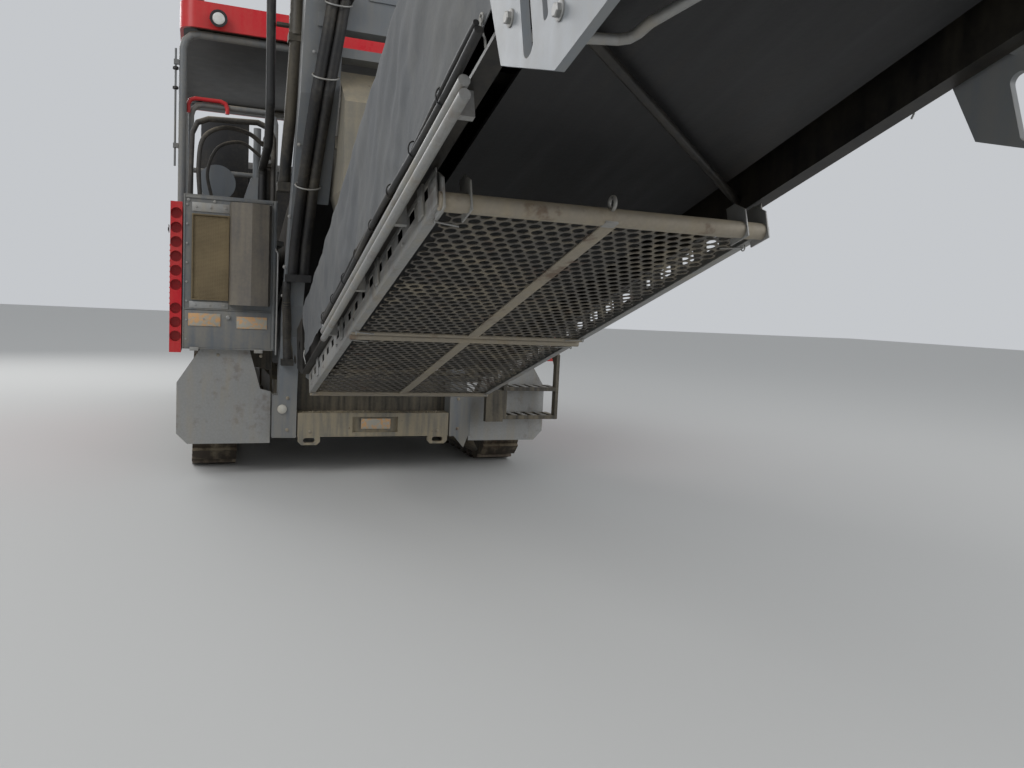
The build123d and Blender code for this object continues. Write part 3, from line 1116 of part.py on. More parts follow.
def boom_lines():
    """Two steel pipes and their clips along the left side frame, and the pipe across the conveyor."""
    parts = []
    y = BOOM_HALF_WIDTH + 30
    for drop in LINE_DROPS:
        v = SIDE_V[0] - drop
        parts.append(rod((-LINES_U[0], y, v), (-LINES_U[1], y, v), LINE_R))
    clip_z = (SIDE_V[0] - LINE_DROPS[1] - 8, SIDE_V[0] - SEAT_GAP)
    clip_pitch = (LINES_U[1] - LINES_U[0] - 200) / 3
    for clip in range(4):
        u = LINES_U[0] + 100 + clip * clip_pitch
        parts.append(block((-u - 12, -u + 12), (BOOM_HALF_WIDTH - 25, y + 2), clip_z))
    web_y = BOOM_HALF_WIDTH - SIDE_THICKNESS - SEAT_GAP
    line = [(CROSSING_U[0], web_y - 5), *CROSSING_BENDS, (CROSSING_U[1], 5 - web_y)]
    crossing = bent_tube([(-u, pipe_y, CROSSING_V) for u, pipe_y in line], CROSSING_R, 45, 2)
    foot_z = (CROSSING_V - 20, CROSSING_V + 20)
    for u, foot_y in zip(CROSSING_U, ((web_y - 11, web_y), (-web_y, 11 - web_y))):
        crossing += block((-u - 25, -u + 25), foot_y, foot_z)
    return [on_boom(joined(parts)), on_boom(crossing)]


def tip_hood():
    """Discharge hood round the head drum."""
    half = BOOM_HALF_WIDTH + 20
    outer = Pos(-HEAD_U, 0, 0) * rod((0, -half, 0), (0, half, 0), TIP_HOOD_R)
    inner = Pos(-HEAD_U, 0, 0) * rod((0, -half + 10, 0), (0, half - 10, 0), TIP_HOOD_R - 12)
    shell = outer - inner
    shell &= block((-HEAD_U - 400, -HEAD_U + 60), (-half - 1, half + 1), (SIDE_V[1] + SEAT_GAP, 400)) + block(
        (-HEAD_U - 400, -TIP_U - 10), (-half - 1, half + 1), (-TIP_HOOD_R * 0.4, 400))
    return on_boom(shell)


def build():
    """All nodes by name."""
    barrel, piston = wing_cylinder()
    luff_barrels, luff_rods = luff_cylinders()
    return {
        "track_left": track(1),
        "track_right": track(-1),
        "track_frames": [track_frame(1), track_frame(-1)],
        "chassis_frame": chassis_frame(),
        "front_beam": front_beam(),
        "outriggers": outriggers(),
        "rear_beam": rear_beam(),
        "gantry": gantry(),
        "mast_hoses": mast_hoses(),
        "mast_cylinder": mast_cylinder(),
        "tower_pipes": tower_pipes(),
        "main_conveyor_frame": main_conveyor_frame(),
        "main_conveyor_belt": main_conveyor_belt(),
        "transfer_chute": transfer_chute(),
        "body_left": body_shell(),
        "body_right": mirrored(body_shell()),
        "radiator_grille": radiator_grille(),
        "air_duct": air_duct(),
        "side_panels": [side_panel(1), side_panel(-1)],
        "side_door_left": side_door(1),
        "side_door_right": side_door(-1),
        "engine_block": engine_block(),
        "mudflaps": mudflaps(),
        "ladder": ladder(),
        "platform_floor": platform(),
        "seats": both_sides(seat()),
        "console": console(),
        "guard_rails": guard_rails(),
        "grab_bar": grab_bar(),
        "canopy_frame": canopy_frame(),
        "canopy_roof": canopy_roof(),
        "roof_lining": roof_lining(),
        "lamps": lamps(),
        "air_intake": air_intake(),
        "hopper_tub": hopper_tub(),
        "wing_left": wing(1),
        "wing_right": wing(-1),
        "wing_barrel_left": barrel,
        "wing_rod_left": piston,
        "wing_barrel_right": mirrored(barrel),
        "wing_rod_right": mirrored(piston),
        "front_flap": front_flap(),
        "push_beam": push_beam(),
        "push_roller_left": push_roller(1),
        "push_roller_right": push_roller(-1),
        "slewing_cradle": slewing_cradle(),
        "slewing_head": slewing_head(),
        "luff_barrels": luff_barrels,
        "luff_rods": luff_rods,
        "boom_frame": boom_frame(),
        "boom_belt": boom_belt(),
        "belt_guard": belt_guard(),
        "boom_cover": boom_cover(),
        "suspension_brackets": suspension_brackets(),
        "boom_lines": boom_lines(),
        "tip_hood": tip_hood(),
    }


def write_parts():
    """Write one STEP file for each node, about the machine's middle."""
    os.makedirs("parts", exist_ok=True)
    for name, piece in build().items():
        if isinstance(piece, (list, tuple)):
            piece = Compound(children=list(piece))
        export_step(Pos(-MIDDLE_X, 0, 0) * piece, f"parts/{name}.step")


write_parts()
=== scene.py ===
"""Looks of a tracked material transfer vehicle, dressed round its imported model."""

import json
import logging
import math
from collections.abc import Callable, Iterable, Mapping, Sequence
from dataclasses import dataclass
from enum import Enum

import bmesh
import bpy
import numpy as np
from mathutils import Matrix, Vector


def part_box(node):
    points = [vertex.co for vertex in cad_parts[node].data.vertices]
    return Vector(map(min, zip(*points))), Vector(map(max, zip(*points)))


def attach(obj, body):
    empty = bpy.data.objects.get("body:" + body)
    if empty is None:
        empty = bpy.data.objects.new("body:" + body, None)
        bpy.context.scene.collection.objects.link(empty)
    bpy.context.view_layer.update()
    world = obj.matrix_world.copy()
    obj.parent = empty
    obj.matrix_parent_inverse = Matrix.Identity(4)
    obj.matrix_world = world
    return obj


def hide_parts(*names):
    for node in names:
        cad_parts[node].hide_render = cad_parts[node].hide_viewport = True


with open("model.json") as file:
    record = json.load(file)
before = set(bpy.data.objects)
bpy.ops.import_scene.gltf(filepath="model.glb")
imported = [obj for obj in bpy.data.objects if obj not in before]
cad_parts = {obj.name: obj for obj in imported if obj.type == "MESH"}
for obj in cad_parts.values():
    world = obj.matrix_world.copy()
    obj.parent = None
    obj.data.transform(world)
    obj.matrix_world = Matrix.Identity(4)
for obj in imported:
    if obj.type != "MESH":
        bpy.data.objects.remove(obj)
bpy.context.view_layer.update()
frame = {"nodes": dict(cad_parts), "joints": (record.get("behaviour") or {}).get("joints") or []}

log = logging.getLogger("transfer_vehicle")

Colour = tuple[float, float, float]
Point = tuple[float, float, float]
Pair = tuple[float, float]
Row = tuple[float, float, float]        # three sizes that belong together
Profile = tuple[Pair, ...]      # distance along an axis and radius there

REAR_FACE_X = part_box("rear_beam")[0].x      # rear face of the rear cross beam
BOOM_SLOPE = math.radians(17.3)
PIVOT = next(Vector(j["pos_m"]) for j in frame["joints"] if j["name"] == "luff")
AHEAD = Vector((1, 0, 0))
ACROSS = Vector((0, 1, 0))
UP = Vector((0, 0, 1))
SIDES = (("left", 1), ("right", -1))        # names of the sides and their sign in Y
EDGE_ANGLE = math.radians(40)       # angle over which an edge is rounded


def at(x: float, y: float, z: float) -> Vector:
    """Place of a point measured forward from the rear beam's rear face."""
    return Vector((x + REAR_FACE_X, y, z))


def boom_at(u: float, y: float, v: float) -> Vector:
    """Place of a point of the discharge conveyor.

    Args:
        u: Distance from its pivot along it.
        y: Distance from the middle plane.
        v: Distance square to it, upwards.

    Returns:
        The point.
    """
    along = Vector((-math.cos(BOOM_SLOPE), 0, math.sin(BOOM_SLOPE)))
    square = Vector((math.sin(BOOM_SLOPE), 0, math.cos(BOOM_SLOPE)))
    return PIVOT + along * u + square * v + ACROSS * y


ALONG = boom_at(1, 0, 0) - boom_at(0, 0, 0)         # up the discharge conveyor
SQUARE = boom_at(0, 0, 1) - boom_at(0, 0, 0)        # square to it, upwards


def both(y: float) -> Pair:
    """A distance from the middle plane on the left and on the right."""
    return y, -y


def outward(y: float, reach: float = 1.0) -> float:
    """A distance that points away from the middle plane on the side that y is on."""
    return math.copysign(reach, y)


def circle(count: int, start: float = 0.0) -> list[Pair]:
    """Points at even steps round a circle of radius 1, the first at a share of a step."""
    turns = [2 * math.pi * (k + start) / count for k in range(count)]
    return [(math.cos(t), math.sin(t)) for t in turns]


def linear(value: int) -> float:
    """Linear light of one sRGB value given as 0 to 255."""
    share = value / 255
    return share / 12.92 if share <= 0.04045 else ((share + 0.055) / 1.055) ** 2.4


def srgb(red: int, green: int, blue: int) -> Colour:
    """Linear colour of an sRGB triple given as 0 to 255."""
    return linear(red), linear(green), linear(blue)


class Wire:
    """A shader socket that can be used in arithmetic."""

    def __init__(self, tree: "Surface", socket: bpy.types.NodeSocket) -> None:
        """Wrap one output socket of a material's tree."""
        self.tree = tree
        self.socket = socket

    def _math(self, operation: str, *values: "Wire | float") -> "Wire":
        """Add a Math node for one operation."""
        inputs = dict(enumerate(values))
        return self.tree.add("ShaderNodeMath", {"operation": operation}, inputs)

    def __add__(self, other: "Wire | float") -> "Wire":
        """Sum."""
        return self._math("ADD", self, other)

    def __radd__(self, other: float) -> "Wire":
        """Sum with a number on the left."""
        return self._math("ADD", other, self)

    def __sub__(self, other: "Wire | float") -> "Wire":
        """Difference."""
        return self._math("SUBTRACT", self, other)

    def __rsub__(self, other: float) -> "Wire":
        """Difference with a number on the left."""
        return self._math("SUBTRACT", other, self)

    def __mul__(self, other: "Wire | float") -> "Wire":
        """Product."""
        return self._math("MULTIPLY", self, other)

    def __rmul__(self, other: float) -> "Wire":
        """Product with a number on the left."""
        return self._math("MULTIPLY", other, self)

    def smaller(self, other: "Wire | float") -> "Wire":
        """The smaller of two values."""
        return self._math("MINIMUM", self, other)

    def ramp(self, low: float, high: float) -> "Wire":
        """Smooth step from 0 at low to 1 at high.

        Args:
            low: Value that gives 0.
            high: Value that gives 1. It may be under low.

        Returns:
            The stepped value.
        """
        settings = {"interpolation_type": "SMOOTHSTEP", "clamp": True}
        inputs = {"Value": self, "From Min": low, "From Max": high, "To Min": 0.0, "To Max": 1.0}
        if low > high:
            inputs.update({"From Min": high, "From Max": low, "To Min": 1.0, "To Max": 0.0})
        return self.tree.add("ShaderNodeMapRange", settings, inputs)


class Surface:
    """One material's node tree, ending in a Principled shader."""

    def __init__(self, name: str) -> None:
        """Start an empty material with a Principled shader.

        Args:
            name: Name of the material.
        """
        self.material = bpy.data.materials.new(name)
        self.material.use_nodes = True
        self.nodes = self.material.node_tree.nodes
        self.links = self.material.node_tree.links
        self.shader = next(node for node in self.nodes if node.type == "BSDF_PRINCIPLED")
        self._coordinates: bpy.types.Node | None = None

    def add(
        self,
        kind: str,
        settings: Mapping[str, object] | None = None,
        inputs: Mapping[str | int, "Wire | object"] | None = None,
        output: str | int = 0,
    ) -> Wire:
        """Add a node, set it up and give one of its outputs.

        Args:
            kind: Blender's name of the node type.
            settings: Properties of the node, set before its sockets.
            inputs: Values or wires for its input sockets, by name or number.
            output: Name or number of the output wanted.

        Returns:
            The chosen output.
        """
        node = self.nodes.new(kind)
        for key, value in (settings or {}).items():
            setattr(node, key, value)
        for key, value in (inputs or {}).items():
            self._feed(node.inputs[key], value)
        return Wire(self, node.outputs[output])

    def _feed(self, socket: bpy.types.NodeSocket, value: "Wire | object") -> None:
        """Link a wire to a socket, or set the socket's own value.

        Args:
            socket: The input socket.
            value: A wire, a number, a vector or a colour without its alpha.
        """
        if isinstance(value, Wire):
            self.links.new(value.socket, socket)
        elif socket.type == "RGBA":
            socket.default_value = (*value, 1.0)
        else:
            socket.default_value = value

    def place(self, output: str = "Object") -> Wire:
        """Object coordinates, or another output of the Texture Coordinate node.

        Args:
            output: Name of the output.

        Returns:
            The coordinates.
        """
        if self._coordinates is None:
            self._coordinates = self.nodes.new("ShaderNodeTexCoord")
        return Wire(self, self._coordinates.outputs[output])

    def axis(self, name: str, output: str = "Object") -> Wire:
        """One axis of the coordinates: X, Y or Z."""
        return self.add("ShaderNodeSeparateXYZ", None, {0: self.place(output)}, name)

    def stretched(self, scale: Point) -> Wire:
        """Object coordinates scaled by axis, for streaks and grain."""
        return self.add("ShaderNodeMapping", None, {"Vector": self.place(), "Scale": scale})

    def noise(
        self, scale: float, detail: float = 4, vector: Wire | None = None, rough: float = 0.55
    ) -> Wire:
        """Noise about 0.5.

        Args:
            scale: Lumps for each metre.
            detail: Number of finer layers.
            vector: Coordinates, where they aren't the object's.
            rough: Share of each finer layer.

        Returns:
            The noise.
        """
        inputs = {"Vector": vector or self.place(), "Scale": scale, "Detail": detail,
                  "Roughness": rough}
        return self.add("ShaderNodeTexNoise", None, inputs)

    def waves(self, way: str, scale: float, vector: Wire | None = None, **inputs: float) -> Wire:
        """Even bands from 0 to 1, square to one axis.

        Args:
            way: The axis: X, Y or Z.
            scale: How close the bands lie.
            vector: Coordinates, where they aren't the object's.
            **inputs: Other values of the Wave Texture node.

        Returns:
            The bands.
        """
        sockets = {"Vector": vector or self.place(), "Scale": scale, **inputs}
        return self.add("ShaderNodeTexWave", {"bands_direction": way}, sockets, "Fac")

    def cells(self, scale: float, feature: str = "F1") -> Wire:
        """Distance within Voronoi cells."""
        inputs = {"Vector": self.place(), "Scale": scale}
        return self.add("ShaderNodeTexVoronoi", {"feature": feature}, inputs, "Distance")

    def mix(self, share: "Wire | float", low: "Wire | Colour", high: "Wire | Colour") -> Wire:
        """Mix two colours.

        Args:
            share: 0 gives low and 1 gives high.
            low: Colour at 0.
            high: Colour at 1.

        Returns:
            The mixed colour.
        """
        node = self.nodes.new("ShaderNodeMix")
        node.data_type = "RGBA"
        sockets = [s for s in node.inputs if s.enabled]
        for socket, value in zip(sockets, (share, low, high)):
            self._feed(socket, value)
        return Wire(self, next(s for s in node.outputs if s.enabled))

    def bump(
        self, height: Wire, depth: float, strength: float, under: Wire | None = None
    ) -> Wire:
        """Normal bent by a height.

        Args:
            height: Height from 0 to 1.
            depth: Metres that a height of 1 stands for.
            strength: Share of the effect.
            under: Normal of a coarser bump below this one.

        Returns:
            The bent normal.
        """
        inputs = {"Height": height, "Distance": depth, "Strength": strength}
        if under is not None:
            inputs["Normal"] = under
        return self.add("ShaderNodeBump", None, inputs)

    def finish(self, **sockets: "Wire | object") -> bpy.types.Material:
        """Feed the Principled shader and give the material.

        Args:
            **sockets: Values by socket name, with _ for a space.

        Returns:
            The finished material.
        """
        for key, value in sockets.items():
            self._feed(self.shader.inputs[key.replace("_", " ")], value)
        return self.material


DUST = srgb(158, 146, 122)
DARK_RUST = srgb(84, 58, 40)
DULL = 0.95         # greatest roughness of a surface


@dataclass(frozen=True)
class Paint:
    """Painted sheet metal with site dust, rain streaks and small chips."""

    name: str
    colour: Colour
    dust: float = 0.35          # share of dust on an upright face
    gloss: float = 0.38         # roughness of clean paint
    chips: float = 0.25         # share of paint that is chipped
    low_dust: Pair = (0.2, 1.3)     # heights between which the dust thins out

    def build(self) -> bpy.types.Material:
        """Make the material.

        Returns:
            The material.
        """
        s = Surface(self.name)
        upward = s.axis("Z", "Normal").ramp(0.35, 0.95)
        low = s.axis("Z").ramp(self.low_dust[1], self.low_dust[0])
        patches = s.noise(2.3, 6)
        grain = s.noise(46, 5)
        streaks = s.noise(1.0, 5, s.stretched((22, 22, 1.6)))
        film = (patches * 0.9 + streaks * 0.7 + grain * 0.35 - 0.62).ramp(0.05, 0.62)
        share = (film * self.dust + upward * (0.06 + self.dust * 1.1) * patches.ramp(0.25, 0.6)
                 + low * self.dust * streaks.ramp(0.3, 0.6)).smaller(1.0)
        shade = tuple(c * 0.82 for c in self.colour)
        tone = s.mix(s.noise(0.9, 3).ramp(0.3, 0.7), self.colour, shade)
        bare = 0.92 - 0.1 * self.chips
        chip = (s.noise(31, 8, rough=0.7) + s.noise(5.5, 3) * 0.35).ramp(bare, bare + 0.05)
        base = s.mix(share, tone, DUST)
        base = s.mix(chip * self.chips, base, DARK_RUST)
        rough = share * 0.45 + s.noise(9, 4) * 0.12 + (self.gloss - 0.06)
        peel = s.bump(s.noise(220, 3), 0.0004, 0.35)
        caked = s.bump(share * grain, 0.0016, 0.5, peel)
        return s.finish(Base_Color=base, Roughness=rough.smaller(DULL), Normal=caked,
                        Specular_IOR_Level=0.32)


@dataclass(frozen=True)
class Steel:
    """Bare or zinc-coated steel, worn and dusty."""

    name: str
    colour: Colour
    metal: float = 0.75
    rough: float = 0.5
    rust: float = 0.2
    dust: float = 0.35
    spangle: float = 0.15

    def build(self) -> bpy.types.Material:
        """Make the material.

        Returns:
            The material.
        """
        s = Surface(self.name)
        flakes = s.cells(60)
        worn = s.noise(5, 7)
        streaks = s.noise(1.0, 5, s.stretched((16, 16, 2.5)))
        shade = tuple(c * 0.55 for c in self.colour)
        tone = s.mix(flakes.ramp(0.1, 0.8) * self.spangle, self.colour, shade)
        stain = (worn * 0.8 + s.noise(24, 6) * 0.5).ramp(0.70, 0.86) * self.rust
        upward = s.axis("Z", "Normal").ramp(0.3, 0.9)
        dusty = (streaks * 0.8 + s.noise(2.0, 4) * 0.6 + upward * 0.25).ramp(0.62, 0.98)
        base = s.mix(stain, tone, DARK_RUST)
        base = s.mix(dusty * self.dust, base, DUST)
        metallic = (1 - (stain + dusty * self.dust).smaller(1.0)) * self.metal
        rough = worn * 0.25 + (self.rough - 0.12) + dusty * self.dust * 0.3
        normal = s.bump(s.noise(90, 5), 0.0006, 0.4)
        return s.finish(Base_Color=base, Metallic=metallic, Roughness=rough.smaller(DULL),
                        Normal=normal)


@dataclass(frozen=True)
class Rubber:
    """Rubber or dull plastic with a film of dust."""

    name: str
    colour: Colour
    dust: float = 0.3
    rough: float = 0.7
    grain: float = 160

    def build(self) -> bpy.types.Material:
        """Make the material.

        Returns:
            The material.
        """
        s = Surface(self.name)
        upward = s.axis("Z", "Normal").ramp(0.2, 0.9)
        film = s.noise(3.1, 6) * 0.8 + s.noise(38, 5) * 0.4 + upward * 0.3
        share = film.ramp(0.52, 1.05) * self.dust
        base = s.mix(share, self.colour, DUST)
        normal = s.bump(s.noise(self.grain, 4), 0.0006, 0.5)
        rough = share * 0.3 + s.noise(7, 4) * 0.16 + (self.rough - 0.08)
        return s.finish(Base_Color=base, Roughness=rough.smaller(DULL), Normal=normal)


@dataclass(frozen=True)
class ConveyorBelt:
    """Black conveyor belt with tar film, scuffs along its run and pale dust."""

    name: str

    def build(self) -> bpy.types.Material:
        """Make the material.

        Returns:
            The material.
        """
        s = Surface(self.name)
        along = s.noise(1.0, 6, s.stretched((0.9, 14, 0.9)))
        blotch = s.noise(1.7, 5)
        pale = (along * 0.7 + blotch * 0.6 + s.noise(60, 4) * 0.2).ramp(0.72, 1.15)
        base = s.mix(pale * 0.24, srgb(17, 17, 19), srgb(96, 88, 78))
        rough = along * 0.3 + 0.42
        normal = s.bump(s.noise(70, 6), 0.0012, 0.5, s.bump(s.noise(4, 3), 0.006, 0.35))
        return s.finish(Base_Color=base, Roughness=rough, Normal=normal,
                        Specular_IOR_Level=0.5)


@dataclass(frozen=True)
class Tarpaulin:
    """Grey coated fabric with dust streaks that run down from the ridge."""

    name: str
    colour: Colour

    def build(self) -> bpy.types.Material:
        """Make the material.

        Returns:
            The material.
        """
        s = Surface(self.name)
        uv = s.place("UV")
        runs = s.add("ShaderNodeMapping", None, {"Vector": uv, "Scale": (5.0, 0.9, 1.0)})
        streaks = s.noise(1.0, 7, runs, 0.62)
        patches = s.noise(1.3, 6)
        fine = s.noise(26, 6)
        dusty = (streaks * 0.7 + patches * 0.5 + fine * 0.18).ramp(0.50, 1.05)
        base = s.mix(dusty * 0.45, self.colour, srgb(136, 134, 128))
        dark = (s.noise(3.3, 8, rough=0.7) + streaks * 0.3).ramp(0.78, 0.98)
        base = s.mix(dark * 0.22, base, srgb(44, 44, 45))
        threads = s.add("ShaderNodeMapping", None, {"Vector": uv, "Scale": (520.0, 520.0, 1.0)})
        weave = s.bump(s.waves("X", 0.314, threads) * s.waves("Y", 0.314, threads), 0.0003, 0.35)
        creases = s.bump(s.noise(7, 5, rough=0.6), 0.012, 0.45, weave)
        rough = dusty * 0.15 + 0.72
        return s.finish(Base_Color=base, Roughness=rough, Normal=creases,
                        Specular_IOR_Level=0.12)


@dataclass(frozen=True)
class FadedPlate:
    """Blank plate whose orange paint has worn back to dusty white in patches."""

    name: str

    def build(self) -> bpy.types.Material:
        """Make the material.

        Returns:
            The material.
        """
        s = Surface(self.name)
        worn = (s.noise(34, 6) * 0.8 + s.noise(7, 4) * 0.5).ramp(0.58, 0.76)
        base = s.mix(worn * 0.6, srgb(158, 154, 142), srgb(214, 148, 60))
        base = s.mix(s.noise(60, 6).ramp(0.55, 0.8) * 0.5, base, DUST)
        normal = s.bump(s.noise(120, 4), 0.0005, 0.4)
        return s.finish(Base_Color=base, Roughness=worn * 0.1 + 0.5, Normal=normal)


@dataclass(frozen=True)
class CoolerCore:
    """Cooler fins packed with tan dust."""

    name: str

    def build(self) -> bpy.types.Material:
        """Make the material.

        Returns:
            The material.
        """
        s = Surface(self.name)
        fins = s.waves("Z", 34.0, Distortion=0.4)
        rows = s.waves("Y", 20.0)
        clogged = s.noise(3.4, 6).ramp(0.3, 0.7)
        base = s.mix(fins * 0.55, srgb(118, 104, 78), srgb(66, 58, 46))
        base = s.mix(clogged * 0.55, base, srgb(140, 124, 94))
        normal = s.bump(fins * 0.7 + rows * 0.3, 0.004, 0.7)
        return s.finish(Base_Color=base, Roughness=0.85, Normal=normal, Metallic=0.15)


@dataclass(frozen=True)
class Lens:
    """Clear or coloured lamp glass over a bright reflector."""

    name: str
    colour: Colour

    def build(self) -> bpy.types.Material:
        """Make the material.

        Returns:
            The material.
        """
        s = Surface(self.name)
        base = s.mix(s.noise(18, 4).ramp(0.3, 0.8) * 0.35, self.colour, DUST)
        ribs = s.bump(s.waves("Y", 60.0), 0.001, 0.4)
        return s.finish(Base_Color=base, Roughness=0.12, Coat_Weight=1.0, Normal=ribs)


@dataclass(frozen=True)
class Vinyl:
    """Black seat cover with a fine leather grain."""

    name: str

    def build(self) -> bpy.types.Material:
        """Make the material.

        Returns:
            The material.
        """
        s = Surface(self.name)
        grain = s.cells(420, "DISTANCE_TO_EDGE")
        dusty = s.noise(6, 5).ramp(0.45, 0.85) * 0.3
        base = s.mix(dusty, srgb(24, 24, 26), srgb(92, 88, 80))
        normal = s.bump(grain.ramp(0.0, 0.25), 0.0005, 0.6)
        rough = s.noise(12, 3) * 0.15 + 0.42
        return s.finish(Base_Color=base, Roughness=rough, Normal=normal)


class Coat(Enum):
    """Finishes of the machine, by the record's material slot or by use."""

    RED = Paint("red_paint", srgb(196, 24, 38), dust=0.12, gloss=0.28, chips=0.12,
                low_dust=(0.6, 1.2))
    GREY = Paint("grey_paint", srgb(104, 109, 114), dust=0.34)
    PALE = Paint("pale_grey_paint", srgb(112, 117, 122), dust=0.20, low_dust=(0.2, 0.9))
    STEEL_GREY = Paint("steel_grey_paint", srgb(120, 125, 130), dust=0.18, low_dust=(0.2, 0.9))
    DARK = Paint("dark_paint", srgb(34, 35, 37), dust=0.22)
    BLACK = Paint("black_paint", srgb(15, 15, 17), dust=0.07, gloss=0.42, low_dust=(0.2, 0.9))
    BEAM = Paint("dusty_beam", srgb(112, 110, 103), dust=0.42, gloss=0.55, chips=0.8)
    BROWN = Paint("duct_paint", srgb(98, 94, 90), dust=0.34, gloss=0.5)
    ZINC = Steel("galvanised", srgb(150, 150, 148), metal=0.55, rust=0.35, dust=0.4)
    RUSTY = Steel("rusty_bar", srgb(150, 142, 128), metal=0.35, rough=0.65, rust=0.75, dust=0.6)
    MESH = Steel("guard_mesh", srgb(96, 92, 86), metal=0.5, rough=0.6, rust=0.5, dust=0.5)
    TRACK = Steel("track_steel", srgb(70, 62, 54), metal=0.7, rust=0.6, dust=0.6, spangle=0.0)
    CHROME = Steel("rod_chrome", srgb(208, 208, 210), metal=1.0, rough=0.2, rust=0.02, dust=0.08,
                   spangle=0.0)
    COOLER = CoolerCore("cooler_core")
    BELT = ConveyorBelt("belt_rubber")
    TARP = Tarpaulin("tarpaulin", srgb(90, 92, 94))
    OLD_HOSE = Rubber("old_hose_rubber", srgb(52, 49, 46), dust=0.55, rough=0.62)
    GLASS = Rubber("display_glass", srgb(14, 16, 18), dust=0.12, rough=0.18, grain=30)
    FADED = FadedPlate("faded_plate")
    CAP = Paint("cap_paint", srgb(196, 194, 186), dust=0.30, gloss=0.45)
    HOSE = Rubber("hose_rubber", srgb(22, 22, 23), dust=0.22, rough=0.55)
    PLASTIC = Rubber("black_plastic", srgb(20, 20, 22), dust=0.18, rough=0.5, grain=300)
    SEAT = Vinyl("seat_cover")
    LAMP = Lens("work_lamp_lens", srgb(206, 208, 204))
    AMBER = Lens("amber_lens", srgb(240, 120, 16))


_COATS: dict[Coat, bpy.types.Material] = {}


def coat(finish: Coat) -> bpy.types.Material:
    """The material of a finish, made once.

    Args:
        finish: The finish.

    Returns:
        Its material.
    """
    if finish not in _COATS:
        _COATS[finish] = finish.value.build()
    return _COATS[finish]


SLOTS = {
    finish: slot
    for slot, finishes in {
        "red_paint": (Coat.RED,),
        "grey_paint": (Coat.GREY, Coat.PALE, Coat.STEEL_GREY, Coat.CAP),
        "dark_paint": (Coat.DARK, Coat.BLACK),
        "dusty_beam": (Coat.BEAM, Coat.BROWN),
        "galvanised": (Coat.ZINC, Coat.RUSTY, Coat.MESH, Coat.FADED),
        "track_steel": (Coat.TRACK,),
        "rod_chrome": (Coat.CHROME,),
        "radiator": (Coat.COOLER,),
        "belt_rubber": (Coat.BELT,),
        "tarpaulin": (Coat.TARP,),
        "black_plastic": (Coat.HOSE, Coat.OLD_HOSE, Coat.GLASS, Coat.PLASTIC),
        "seat_cover": (Coat.SEAT,),
        "lamp_lens": (Coat.LAMP, Coat.AMBER),
    }.items()
    for finish in finishes
}


Place = Callable[[float, float, float], Vector]


def new_object(name: str, data: bpy.types.ID) -> bpy.types.Object:
    """Object of a mesh, lamp or camera, linked to the scene.

    Args:
        name: Name of the object.
        data: What it shows.

    Returns:
        The object.
    """
    item = bpy.data.objects.new(name, data)
    bpy.context.scene.collection.objects.link(item)
    return item


